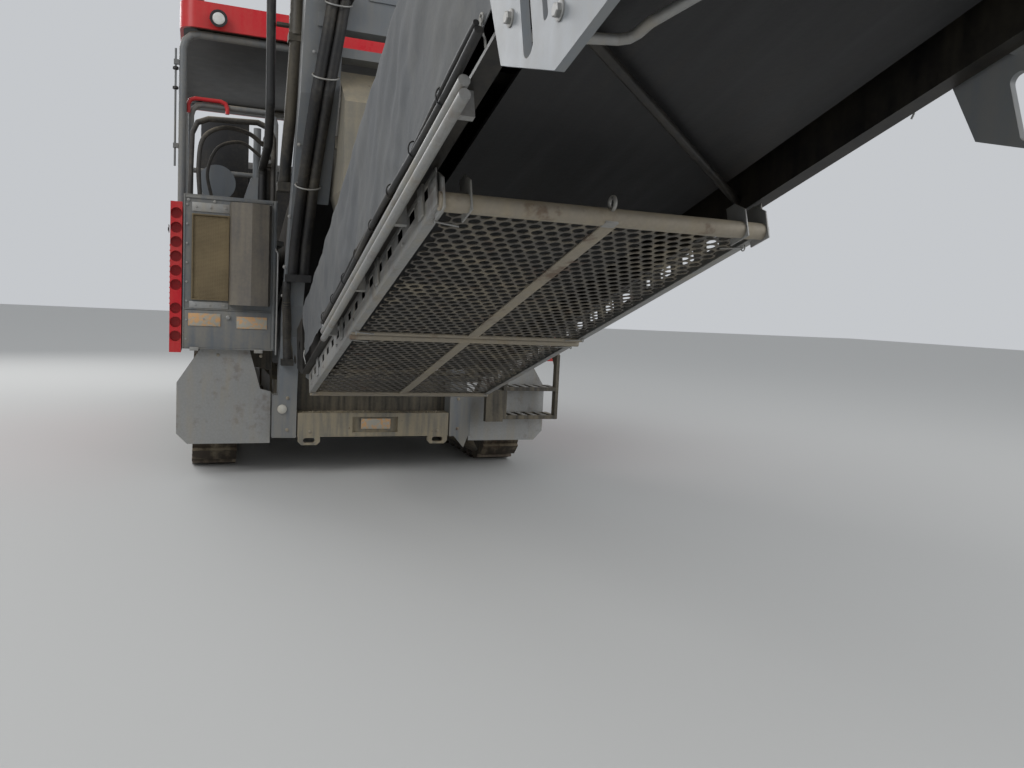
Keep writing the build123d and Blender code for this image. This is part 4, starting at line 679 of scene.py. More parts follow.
class Draft:
    """A mesh under construction, in metres and in its place on the object."""

    def __init__(self) -> None:
        """Start with nothing."""
        self.points: list[Vector] = []
        self.faces: list[tuple[int, ...]] = []

    def put(self, points: Iterable[Vector], faces: Iterable[Sequence[int]]) -> "Draft":
        """Add points and faces.

        Args:
            points: The points.
            faces: The faces, numbered within these points.

        Returns:
            The draft.
        """
        first = len(self.points)
        self.points.extend(points)
        self.faces.extend(tuple(first + i for i in face) for face in faces)
        return self

    def prism(self, outline: Sequence[Vector], shift: Vector) -> "Draft":
        """Closed plate between an outline and the same outline moved.

        Args:
            outline: Corners of one side.
            shift: How far the other side lies from it.

        Returns:
            The draft.
        """
        count = len(outline)
        sides = [(i, (i + 1) % count, count + (i + 1) % count, count + i) for i in range(count)]
        caps = [tuple(reversed(range(count))), tuple(range(count, 2 * count))]
        return self.put([*outline, *(p + shift for p in outline)], caps + sides)

    def box(self, low: Point, high: Point, place: Place = at) -> "Draft":
        """Box between two opposite corners.

        Args:
            low: One corner.
            high: The other corner. Either may hold the larger value of an axis.
            place: What turns the corners' coordinates into the object's.

        Returns:
            The draft.
        """
        (x0, x1), (y0, y1), (z0, z1) = (sorted(pair) for pair in zip(low, high))
        foot = [place(x0, y0, z0), place(x1, y0, z0), place(x1, y1, z0), place(x0, y1, z0)]
        return self.prism(foot, place(x0, y0, z1) - foot[0])

    def _skin(self, points: list[Vector], sides: int, closed: bool = False) -> "Draft":
        """Add rings of points with the faces between them.

        Args:
            points: Points of the rings, one ring after another.
            sides: Points in a ring.
            closed: Whether the last ring joins the first, instead of a cap on each.

        Returns:
            The draft.
        """
        rings = len(points) // sides
        faces: list[tuple[int, ...]] = []
        for i in range(rings if closed else rings - 1):
            here, there = i * sides, (i + 1) % rings * sides
            for k in range(sides):
                m = (k + 1) % sides
                faces.append((here + k, here + m, there + m, there + k))
        if not closed:
            faces.append(tuple(reversed(range(sides))))
            faces.append(tuple(range(len(points) - sides, len(points))))
        return self.put(points, faces)

    def tube(
        self, line: Sequence[Vector], radius: float, sides: int, closed: bool = False
    ) -> "Draft":
        """Round tube along a line of points.

        Args:
            line: Points of the centreline.
            radius: Radius in metres.
            sides: Number of sides.
            closed: Whether the last point joins the first.

        Returns:
            The draft.
        """
        count = len(line)
        way = []
        for i in range(count):
            before = line[i - 1] if i or closed else line[0]
            after = line[(i + 1) % count] if i < count - 1 or closed else line[-1]
            way.append((after - before).normalized())
        side = way[0].orthogonal().normalized()
        points = []
        for i in range(count):
            if i:
                side = way[i - 1].rotation_difference(way[i]) @ side
            other = way[i].cross(side)
            points += [line[i] + (side * a + other * b) * radius for a, b in circle(sides)]
        return self._skin(points, sides, closed)

    def lathe(
        self, base: Vector, axis: Vector, profile: Sequence[Pair], sides: int = 24
    ) -> "Draft":
        """Turned form about an axis.

        Args:
            base: Point where the distance along the axis is 0.
            axis: Direction of the axis.
            profile: Pairs of distance along the axis and radius.
            sides: Number of sides.

        Returns:
            The draft.
        """
        axis = axis.normalized()
        side = axis.orthogonal().normalized()
        other = axis.cross(side)
        points = []
        for distance, radius in profile:
            points += [base + axis * distance + (side * a + other * b) * radius
                       for a, b in circle(sides, 0.5)]
        return self._skin(points, sides)

    def ring(self, centre: Vector, axis: Vector, radius: float, wire: float) -> "Draft":
        """Round ring of wire about an axis.

        Args:
            centre: Middle of the ring.
            axis: Direction of its axis.
            radius: Radius of the wire's centreline.
            wire: Radius of the wire.

        Returns:
            The draft.
        """
        side = axis.orthogonal().normalized()
        other = axis.normalized().cross(side)
        line = [centre + (side * a + other * b) * radius for a, b in circle(20)]
        return self.tube(line, wire, 8, closed=True)

    def bolt(self, place: Vector, axis: Vector, size: float) -> "Draft":
        """Hexagon head on its washer.

        Args:
            place: Middle of the washer's foot.
            axis: Direction that the head points in.
            size: Radius of the head.

        Returns:
            The draft.
        """
        washer = [(0.0, size * 1.35), (size * 0.2, size * 1.35), (size * 0.25, size * 1.25)]
        head = [(size * 0.2, size), (size * 0.8, size), (size * 0.95, size * 0.82)]
        return self.lathe(place, axis, washer, 18).lathe(place, axis, head, 6)

    def mesh(self, name: str) -> bpy.types.Mesh:
        """Blender mesh of the draft, with its faces turned outwards.

        Args:
            name: Name of the mesh.

        Returns:
            The mesh.
        """
        mesh = bpy.data.meshes.new(name)
        mesh.from_pydata([tuple(p) for p in self.points], [], self.faces)
        work = bmesh.new()
        work.from_mesh(mesh)
        bmesh.ops.recalc_face_normals(work, faces=work.faces)
        work.to_mesh(mesh)
        work.free()
        return mesh

    def make(
        self, name: str, finish: Coat, body: str = "root", bevel: float = 0.0, smooth: float = 35.0
    ) -> bpy.types.Object:
        """Finish the draft as one piece that rides on a body.

        Args:
            name: Name of the piece.
            finish: Finish of its surface.
            body: Body that it moves with.
            bevel: Width of the rounded edges in metres.
            smooth: Angle in degrees under which edges are shaded smooth.

        Returns:
            The piece.
        """
        piece = new_object(name, self.mesh(name))
        if bevel:
            edges = piece.modifiers.new("edges", "BEVEL")
            edges.width = bevel
            edges.segments = 2
            edges.limit_method = "ANGLE"
            edges.angle_limit = EDGE_ANGLE
            settle(piece)
        return dress(piece, finish, body, smooth)


def settle(piece: bpy.types.Object) -> None:
    """Turn a piece with modifiers into a plain mesh.

    Args:
        piece: The piece.
    """
    graph = bpy.context.evaluated_depsgraph_get()
    mesh = bpy.data.meshes.new_from_object(piece.evaluated_get(graph))
    piece.modifiers.clear()
    piece.data = mesh


def dress(
    piece: bpy.types.Object, finish: Coat, body: str, smooth: float = 35.0
) -> bpy.types.Object:
    """Shade a piece, give it its finish and let it ride on a body.

    Args:
        piece: The piece.
        finish: Finish of its surface.
        body: Body that it moves with.
        smooth: Angle in degrees under which edges are shaded smooth.

    Returns:
        The piece.
    """
    mesh = piece.data
    mesh.polygons.foreach_set("use_smooth", [True] * len(mesh.polygons))
    mesh.set_sharp_from_angle(angle=math.radians(smooth))
    mesh.materials.clear()
    mesh.materials.append(coat(finish))
    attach(piece, body)
    log.info("%s on %s, %d faces", piece.name, body, len(mesh.polygons))
    return piece


def bend(points: Sequence[Vector], steps: int) -> list[Vector]:
    """Smooth line through a few points.

    Args:
        points: The points.
        steps: Number of steps between two of them.

    Returns:
        The points of the line.
    """
    whole = [2 * points[0] - points[1], *points, 2 * points[-1] - points[-2]]
    line = []
    for a, b, c, d in zip(whole, whole[1:], whole[2:], whole[3:]):
        for step in range(steps):
            t = step / steps
            line.append(0.5 * (2 * b + (c - a) * t + (2 * a - 5 * b + 4 * c - d) * t * t
                               + (3 * b - a - 3 * c + d) * t ** 3))
    return [*line, points[-1]]


def repeat(
    name: str, cell: Draft, places: Sequence[Vector], finish: Coat, body: str
) -> bpy.types.Object:
    """Repeat a small form at many places with Geometry Nodes, as one plain piece.

    Args:
        name: Name of the piece.
        cell: The form, drawn about the origin.
        places: Where it goes.
        finish: Finish of its surface.
        body: Body that it moves with.

    Returns:
        The piece.
    """
    source = new_object(name + "_cell", cell.mesh(name + "_cell"))
    cloud = bpy.data.meshes.new(name)
    cloud.from_pydata([tuple(p) for p in places], [], [])
    piece = new_object(name, cloud)
    tree = bpy.data.node_groups.new(name, "GeometryNodeTree")
    tree.interface.new_socket("Geometry", in_out="INPUT", socket_type="NodeSocketGeometry")
    form = tree.interface.new_socket("Form", in_out="INPUT", socket_type="NodeSocketObject")
    tree.interface.new_socket("Geometry", in_out="OUTPUT", socket_type="NodeSocketGeometry")
    nodes = {kind: tree.nodes.new(kind) for kind in (
        "NodeGroupInput", "GeometryNodeObjectInfo", "GeometryNodeInstanceOnPoints",
        "GeometryNodeRealizeInstances", "GeometryNodeSetMaterial", "NodeGroupOutput")}
    nodes["GeometryNodeSetMaterial"].inputs["Material"].default_value = coat(finish)
    for start, output, end, socket in (
        ("NodeGroupInput", "Geometry", "GeometryNodeInstanceOnPoints", "Points"),
        ("NodeGroupInput", "Form", "GeometryNodeObjectInfo", "Object"),
        ("GeometryNodeObjectInfo", "Geometry", "GeometryNodeInstanceOnPoints", "Instance"),
        ("GeometryNodeInstanceOnPoints", "Instances", "GeometryNodeRealizeInstances", "Geometry"),
        ("GeometryNodeRealizeInstances", "Geometry", "GeometryNodeSetMaterial", "Geometry"),
        ("GeometryNodeSetMaterial", "Geometry", "NodeGroupOutput", "Geometry"),
    ):
        tree.links.new(nodes[start].outputs[output], nodes[end].inputs[socket])
    modifier = piece.modifiers.new("repeat", "NODES")
    modifier.node_group = tree
    modifier[form.identifier] = source
    settle(piece)
    bpy.data.objects.remove(source)
    return dress(piece, finish, body)


@dataclass
class PerforatedGuard:
    """Guard under the discharge conveyor: perforated sheet, slotted edges and cross bars.

    Its sizes are in the conveyor's directions: u along it, y across it and v square to it.
    """

    u: Pair = (0.133, 3.222)
    half: float = 0.618
    v: float = -0.347
    pitch: float = 0.054
    hole: float = 0.0218            # radius of a hole
    sheet: float = 0.004            # thickness of the sheet
    border: float = 0.03            # plain edge round the holes
    lip: float = 0.036              # width of the edges' lower lip
    wall: float = 0.005             # thickness of the edges
    clear: float = 0.0005           # room between the sheet and what lies under it
    edge_height: float = 0.122
    slot_lift: float = 0.062        # height of the slots' lower side over the sheet
    slot_ends: Pair = (0.06, 0.12)      # plain lengths at the foot and the head of an edge
    slot_pitch: float = 0.178
    slot: Pair = (0.085, 0.042)     # along the edge and up
    round_bars: tuple[Row, ...] = (         # place along, radius and lift
        (1.63, 0.018, -0.008), (1.68, 0.010, -0.004), (3.222, 0.030, 0.010))
    end_plate: tuple[Pair, ...] = ((-0.07, -0.025), (0.035, -0.025), (0.035, 0.075),
                                   (-0.02, 0.118), (-0.07, 0.118))
    pins: tuple[float, ...] = (0.153, 1.57, 1.72, 3.112)        # places along
    hangers: tuple[float, ...] = (0.562, 1.452, 2.342, 3.054)       # places along
    hanger_top: float = -0.2185

    def build(self) -> None:
        """Make the guard in place of its CAD node."""
        places = self._places()
        sheet = repeat("guard_perforated_sheet", self._cell(), places, Coat.MESH, "boom")
        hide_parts("belt_guard")
        self._edges()
        self._strips()
        self._bars()
        self._fittings()
        log.info("guard sheet with %d holes", len(places))

    def _cell(self) -> Draft:
        """One six-sided cell of sheet with a round hole.

        Returns:
            The cell about the origin, the points of its lower side first.
        """
        corners, rim = 6, 12            # points of the outline and of the hole
        side = corners + rim
        lower = [(ALONG * a + ACROSS * b) * radius
                 for count, radius in ((corners, self.pitch / math.sqrt(3)), (rim, self.hole))
                 for a, b in circle(count)]
        upper = [point + SQUARE * self.sheet for point in lower]
        faces = []
        for k in range(corners):
            n = (k + 1) % corners
            a, b, c = (corners + (2 * k + step) % rim for step in range(3))
            faces += [(k, b, a), (k, n, b), (n, c, b)]
        faces += [tuple(i + side for i in reversed(face)) for face in faces]
        for k in range(rim):
            a, b = corners + k, corners + (k + 1) % rim
            faces.append((a, b, side + b, side + a))
        return Draft().put([*lower, *upper], faces)

    def _places(self) -> list[Vector]:
        """Centres of the cells, every second row shifted by half a pitch.

        Returns:
            The centres, row by row.
        """
        low, high = self.u
        row_pitch = self.pitch * math.sqrt(3) / 2
        rows = int((high - low - 2 * self.border) / row_pitch)
        columns = int((self.half - self.border) / self.pitch)
        places = []
        for row in range(rows + 1):
            odd = row % 2
            u = low + self.border + row * row_pitch
            places += [boom_at(u, (column + 0.5 * odd) * self.pitch, self.v)
                       for column in range(-columns, columns + 1 - odd)]
        return places

    def _edges(self) -> None:
        """Angle sections along both sides, their upright flange slotted."""
        low, high = self.u
        slot_low = self.v + self.slot_lift
        slot_high = slot_low + self.slot[1]
        starts = np.arange(low + self.slot_ends[0], high - self.slot_ends[1], self.slot_pitch)
        webs = [low, *(u for start in starts for u in (start, start + self.slot[0])), high]
        edges = Draft()
        for y in both(self.half):
            inner = y - outward(y, self.wall)
            for foot, head in ((self.v, slot_low), (slot_high, self.v + self.edge_height)):
                edges.box((low, y, foot), (high, inner, head), boom_at)
            for begin, end in zip(webs[0::2], webs[1::2]):
                edges.box((begin, y, slot_low), (end, inner, slot_high), boom_at)
            lip = y - outward(y, self.lip)
            edges.box((low, y, self.v - self.wall), (high, lip, self.v - self.clear), boom_at)
        edges.make("guard_edges", Coat.ZINC, "boom", bevel=0.001)

    def _strips(self) -> None:
        """Flat bar down the middle and strips at both ends of the sheet."""
        low, high = self.u
        top = self.v - self.clear
        strips = Draft()
        strips.box((low, -0.028, self.v - 0.007), (high, 0.028, top), boom_at)
        for start, end in ((low, low + 0.03), (high - 0.05, high)):
            strips.box((start, -self.half, self.v - 0.004), (end, self.half, top), boom_at)
        strips.make("guard_strips", Coat.RUSTY, "boom", bevel=0.001)

    def _bars(self) -> None:
        """Square bar at the foot and the round bars across the guard."""
        foot, reach = self.u[0], self.half - 0.006
        bars = Draft()
        bars.box((foot - 0.018, -reach, self.v - 0.018), (foot + 0.018, reach, self.v + 0.014),
                 boom_at)
        for u, radius, lift in self.round_bars:
            line = [boom_at(u, reach * share, self.v + lift) for share in (-1, -0.5, 0, 0.5, 1)]
            bars.tube(line, radius, 24)
        bars.make("guard_bars", Coat.RUSTY, "boom", bevel=0.0012)

    def _fittings(self) -> None:
        """End brackets, pins with their rings, bolts, lifting lug and hangers."""
        low, high = self.u
        trim = Draft()
        for y in both(self.half):
            for inset in (0.012, 0.10):
                base = y - outward(y, inset)
                trim.prism([boom_at(high + u, base, self.v + v) for u, v in self.end_plate],
                           ACROSS * outward(-y, 0.006))
            for u in self.pins:
                pin = [boom_at(u, y - outward(y, 0.02), self.v - 0.012),
                       boom_at(u - 0.02, y - outward(y, 0.11), self.v - 0.014)]
                trim.tube(pin, 0.0035, 8)
                trim.ring(pin[0], ACROSS, 0.011, 0.0025)
            for u in np.arange(low + 0.15, high, 0.5):
                trim.bolt(boom_at(u, y, self.v + 0.03), ACROSS * outward(y), 0.008)
        trim.ring(boom_at(high + 0.032, 0.02, self.v + 0.045), ACROSS, 0.022, 0.007)
        trim.box((high - 0.02, -0.004, self.v - 0.020), (high + 0.02, 0.044, self.v + 0.03),
                 boom_at)
        for u in self.hangers:
            for y in both(self.half):
                trim.box((u - 0.03, y, self.v + 0.02),
                         (u + 0.03, y + outward(y, 0.008), self.hanger_top), boom_at)
        trim.make("guard_fittings", Coat.ZINC, "boom", bevel=0.0008)


@dataclass
class TarpCover:
    """Tarpaulin over the discharge conveyor, hooked down along both hems."""

    u: Pair = (0.330, 7.900)
    half: float = 0.680
    hem: float = -0.172
    step: float = 0.024             # length of a face along the sheet
    thick: float = 0.0022
    ridge: tuple[Pair, ...] = ((0.33, 0.166), (0.40, 0.172), (3.0, 0.508), (7.3, 0.508),
                               (7.9, 0.326))
    shoulder: Pair = (0.004, 0.055)     # least and largest radius between side and top
    shoulder_foot: float = 0.16     # height of the ridge that would leave no radius
    ties: tuple[float, ...] = (0.42, 1.18, 2.19, 3.05, 3.86, 4.95, 5.80, 6.65, 7.50)
    bows: float = 0.95              # spacing of the bows under the sheet
    sag: float = 0.020              # depth of the top between two bows
    scallop: float = 0.034          # rise of the hem between two ties
    scallop_reach: float = 0.42     # distance from a tie where the hem has risen in full
    rays: int = 13                  # folds in a full turn about a tie
    fan_depth: float = 0.006
    fan_peak: float = 0.12          # distance from a tie where its folds are deepest
    fan_reach: float = 0.62         # length over which they fade
    long_depth: float = 0.0085
    long_lean: float = 1.3          # shift of the long folds for each metre up
    long_waves: Pair = (11.0, 29.0)     # broad and narrow folds, in radians to the metre
    billow: float = 0.002           # slow wave of the hem
    room: tuple[Pair, Pair] = ((0.05, 0.20), (0.0135, 0.019))       # heights, deepest fold there
    ripple_end: float = 8.4
    ripple_pitch: float = 0.17
    seed: int = 7

    def build(self) -> None:
        """Make the sheet with its eyelets and hooks."""
        columns = int((self.u[1] - self.u[0]) / self.step)
        along = np.linspace(self.u[0], self.u[1], columns + 1)
        top = np.interp(along, *zip(*self.ridge))
        plain = self._grid(along, top, fold=False)
        cloth = self._grid(along, top, fold=True)
        piece = self._sheet(cloth)
        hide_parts("boom_cover")
        hooks = self._hooks(cloth, along)

    def _section(self) -> np.ndarray:
        """Places round half a section: side from 0 to 1, corner to 2, top to 3.

        Returns:
            The places, from the hem to the ridge.
        """
        side = np.linspace(0.0, 1.0, 22)
        corner = np.linspace(1.0, 2.0, 6)[1:]
        top = np.linspace(2.0, 3.0, 14)[1:]
        return np.concatenate([side, corner, top])

    def _grid(self, along: np.ndarray, top: np.ndarray, fold: bool) -> np.ndarray:
        """Points of the sheet, row by row round the section from the left hem.

        Args:
            along: Distances along the conveyor.
            top: Height of the ridge at each of them.
            fold: Whether the sheet sags and folds.

        Returns:
            The points, as rows by columns by coordinates.
        """
        rng = np.random.default_rng(self.seed)
        radius = np.clip((top - self.shoulder_foot) * 0.5, *self.shoulder)
        marks = np.arange(0, self.ripple_end, self.ripple_pitch)
        halves = []
        for sign in (1, -1):
            phase = rng.uniform(0, 6.28, len(self.ties))
            ripple = np.interp(along, marks, rng.uniform(-1, 1, len(marks)))
            rows = []
            for s in self._section():
                if s <= 1:
                    v = self.hem + (top - radius - self.hem) * s
                    y = np.full_like(along, self.half)
                elif s <= 2:
                    turn = (s - 1) * math.pi / 2
                    v = top - radius + radius * math.sin(turn)
                    y = self.half - radius + radius * math.cos(turn)
                else:
                    v = top.copy()
                    y = (self.half - radius) * (3 - s)
                if fold:
                    v, y = self._folded(along, v, y, s, phase, ripple)
                rows.append(np.stack([along, sign * y, v], axis=1))
            halves.append(np.array(rows))
        left, right = halves
        flat = np.concatenate([left, right[::-1][1:]])
        return flat @ np.array([ALONG, ACROSS, SQUARE]) + np.array(PIVOT)

    def _folded(
        self, along: np.ndarray, v: np.ndarray, y: np.ndarray, s: float, phase: np.ndarray,
        ripple: np.ndarray,
    ) -> tuple[np.ndarray, np.ndarray]:
        """Sag the top between the bows, scallop the hem and fold the side out from the ties.

        Args:
            along: Distances along the conveyor.
            v: Heights of the plain sheet there.
            y: Half widths of the plain sheet there.
            s: Place round the section, as _section gives it.
            phase: Turn of the folds about each tie.
            ripple: Slow waver along the sheet, from -1 to 1.

        Returns:
            Heights and half widths of the folded sheet.
        """
        if s > 2:
            sag = np.abs(np.sin(math.pi * (along - self.u[0]) / self.bows)) ** 0.7
            return v - self.sag * sag * (s - 2) ** 0.5 - 0.004 * (1 + ripple) * (s - 2), y
        hang = max(0.0, 1 - s)
        nearest = np.min(np.abs(along[:, None] - np.array(self.ties)), axis=1)
        v = v + hang ** 2 * self.scallop * np.clip(nearest / self.scallop_reach, 0, 1) ** 1.5
        up = v - self.hem
        fans = np.zeros_like(along)
        for tie, turn in zip(self.ties, phase):
            reach = np.hypot(along - tie, up)
            rays = 0.5 + 0.5 * np.cos(self.rays * np.arctan2(up, along - tie) + turn)
            fade = np.exp(-((reach - self.fan_peak) / self.fan_reach) ** 2)
            fans += rays * fade * np.clip(reach / 0.10, 0, 1)
        lean = along - up * self.long_lean
        broad = (0.5 + 0.5 * np.sin(lean * self.long_waves[0] + 2 * ripple)) ** 2
        narrow = (0.5 + 0.5 * np.sin(lean * self.long_waves[1] + 3 * ripple)) ** 2
        depth = (self.fan_depth * fans + self.long_depth * (broad + 0.5 * narrow)
                 + self.billow * (1 + ripple) * hang)
        return v, y - np.minimum(depth, np.interp(v, *self.room)) * min(1.0, 2 - s)

    def _sheet(self, cloth: np.ndarray) -> bpy.types.Object:
        """The sheet itself, with its own UV in metres.

        Args:
            cloth: Points of the sheet, as _grid gives them.

        Returns:
            The piece.
        """
        rows, count, _ = cloth.shape
        faces = [(r * count + c, r * count + c + 1, (r + 1) * count + c + 1, (r + 1) * count + c)
                 for r in range(rows - 1) for c in range(count - 1)]
        mesh = Draft().put([Vector(p) for p in cloth.reshape(-1, 3)], faces).mesh("cover_sheet")
        steps = np.linalg.norm(np.diff(cloth, axis=0), axis=2)
        around = np.concatenate([np.zeros((1, count)), np.cumsum(steps, axis=0)])
        lengthwise = np.linspace(self.u[0], self.u[1], count)
        layer = mesh.uv_layers.new(name="UVMap")
        loops = np.empty(len(mesh.loops), dtype=np.int64)
        mesh.loops.foreach_get("vertex_index", loops)
        uv = np.stack([lengthwise[loops % count], around[loops // count, loops % count]], axis=1)
        layer.data.foreach_set("uv", uv.astype(np.float32).ravel())
        piece = new_object("cover_sheet", mesh)
        wall = piece.modifiers.new("thickness", "SOLIDIFY")
        wall.thickness = self.thick
        wall.offset = -1.0
        settle(piece)
        return dress(piece, Coat.TARP, "boom", smooth=80.0)

    def _hooks(self, cloth: np.ndarray, along: np.ndarray) -> bpy.types.Object:
        """Eyelet, rubber tie and hook at each tie, down to the side frame's lower edge.

        Args:
            cloth: Points of the sheet, as _grid gives them.
            along: Distances of its columns along the conveyor.

        Returns:
            The piece.
        """
        hooks = Draft()
        for row, sign in ((0, 1), (-1, -1)):
            out = ACROSS * sign
            for tie in self.ties:
                hem = Vector(cloth[row, int(np.argmin(np.abs(along - tie)))])
                eye = hem + SQUARE * 0.022 + out * 0.0035
                hooks.ring(eye, out, 0.012, 0.0028)
                line = [eye + out * 0.002, hem - SQUARE * 0.005 + out * 0.006,
                        hem - SQUARE * 0.035 + ALONG * 0.006,
                        hem - SQUARE * 0.052 - ALONG * 0.004 - out * 0.004]
                hooks.tube(bend(line, 5), 0.0032, 8)
        return hooks.make("cover_hooks", Coat.ZINC, "boom")


@dataclass
class TowerTrim:
    """Sheets, strips, blank plates and bolts on the rear face of the left tower."""

    panel_y: Pair = (0.800, 1.392)
    panel_z: Pair = (0.960, 2.034)
    core_y: Pair = (1.099, 1.349)       # sides of the cooler
    seam_z: float = 1.232           # seam between the lower and the upper sheet
    clear: float = 0.0003           # room between the tower and what lies on it
    plates: tuple[tuple[Pair, Pair], ...] = (((1.150, 1.366), (1.116, 1.206)),
                                             ((0.828, 1.040), (1.106, 1.192)))
    rod: tuple[Point, ...] = ((-0.020, 0.762, 0.92), (-0.020, 0.762, 1.66),
                              (-0.004, 0.782, 1.70))
    top_bolts: tuple[float, ...] = (0.82, 0.93, 1.06, 1.20, 1.372)
    round_cap: Profile = ((0, 0.017), (0.006, 0.017), (0.010, 0.011), (0.018, 0.010))

    def build(self) -> None:
        """Make the trim."""
        self._sheets()
        self._strips()
        plates = Draft()
        for (y0, y1), (z0, z1) in self.plates:
            plates.box((-0.010, y0, z0), (-0.0045, y1, z1))
        plates.make("tower_blank_plates", Coat.FADED, bevel=0.001)
        self._bolts()

    def _lay(self, draft: Draft, depth: float, y: Pair, z: Pair) -> None:
        """Lay a flat box of a given depth on the rear face."""
        draft.box((-depth, y[0], z[0]), (-self.clear, y[1], z[1]))

    def _sheets(self) -> None:
        """Lower sheet, seam and top strips, and the flanges at both sides."""
        inner, outer = self.panel_y
        sheets = Draft()
        self._lay(sheets, 0.004, self.panel_y, (0.962, self.seam_z - 0.006))
        self._lay(sheets, 0.009, self.panel_y, (self.seam_z, self.seam_z + 0.007))
        self._lay(sheets, 0.009, self.panel_y, (2.012, 2.028))
        self._lay(sheets, 0.012, (inner - 0.022, inner - 0.006), self.panel_z)
        self._lay(sheets, 0.006, (outer + 0.001, outer + 0.010), self.panel_z)
        sheets.make("tower_rear_sheets", Coat.GREY, bevel=0.0012)

    def _strips(self) -> None:
        """Bare strips over and under the cooler, two tabs and the rod at the inner side."""
        low, high = self.core_y
        strips = Draft()
        self._lay(strips, 0.005, self.core_y, (1.922, 1.985))
        self._lay(strips, 0.005, (low, high + 0.012), (1.242, 1.290))
        for y, z in ((1.325, 0.948), (0.885, 0.940)):
            self._lay(strips, 0.014, (y - 0.030, y + 0.030), (z - 0.010, z + 0.016))
        strips.tube([at(*p) for p in self.rod], 0.007, 10)
        strips.make("tower_strips", Coat.ZINC, bevel=0.001)

    def _bolts(self) -> None:
        """Bolts along the top, the outer side and the strips, and two round caps."""
        bolts = Draft()
        for y in self.top_bolts:
            bolts.bolt(at(-0.004, y, 1.998), -AHEAD, 0.008)
        for z in np.arange(1.02, 1.97, 0.135):
            bolts.bolt(at(-0.0045, self.panel_y[1] - 0.012, z), -AHEAD, 0.006)
        for y in (1.125, 1.225, 1.320):
            for z in (1.954, 1.266):
                bolts.bolt(at(-0.005, y, z), -AHEAD, 0.0065)
        bolts.lathe(at(-0.004, 1.097, 1.182), -AHEAD, self.round_cap, 18)
        bolts.lathe(at(-0.010, 1.262, 1.166), -AHEAD, [(0, 0.006), (0.004, 0.005)], 12)
        bolts.make("tower_bolts", Coat.ZINC)


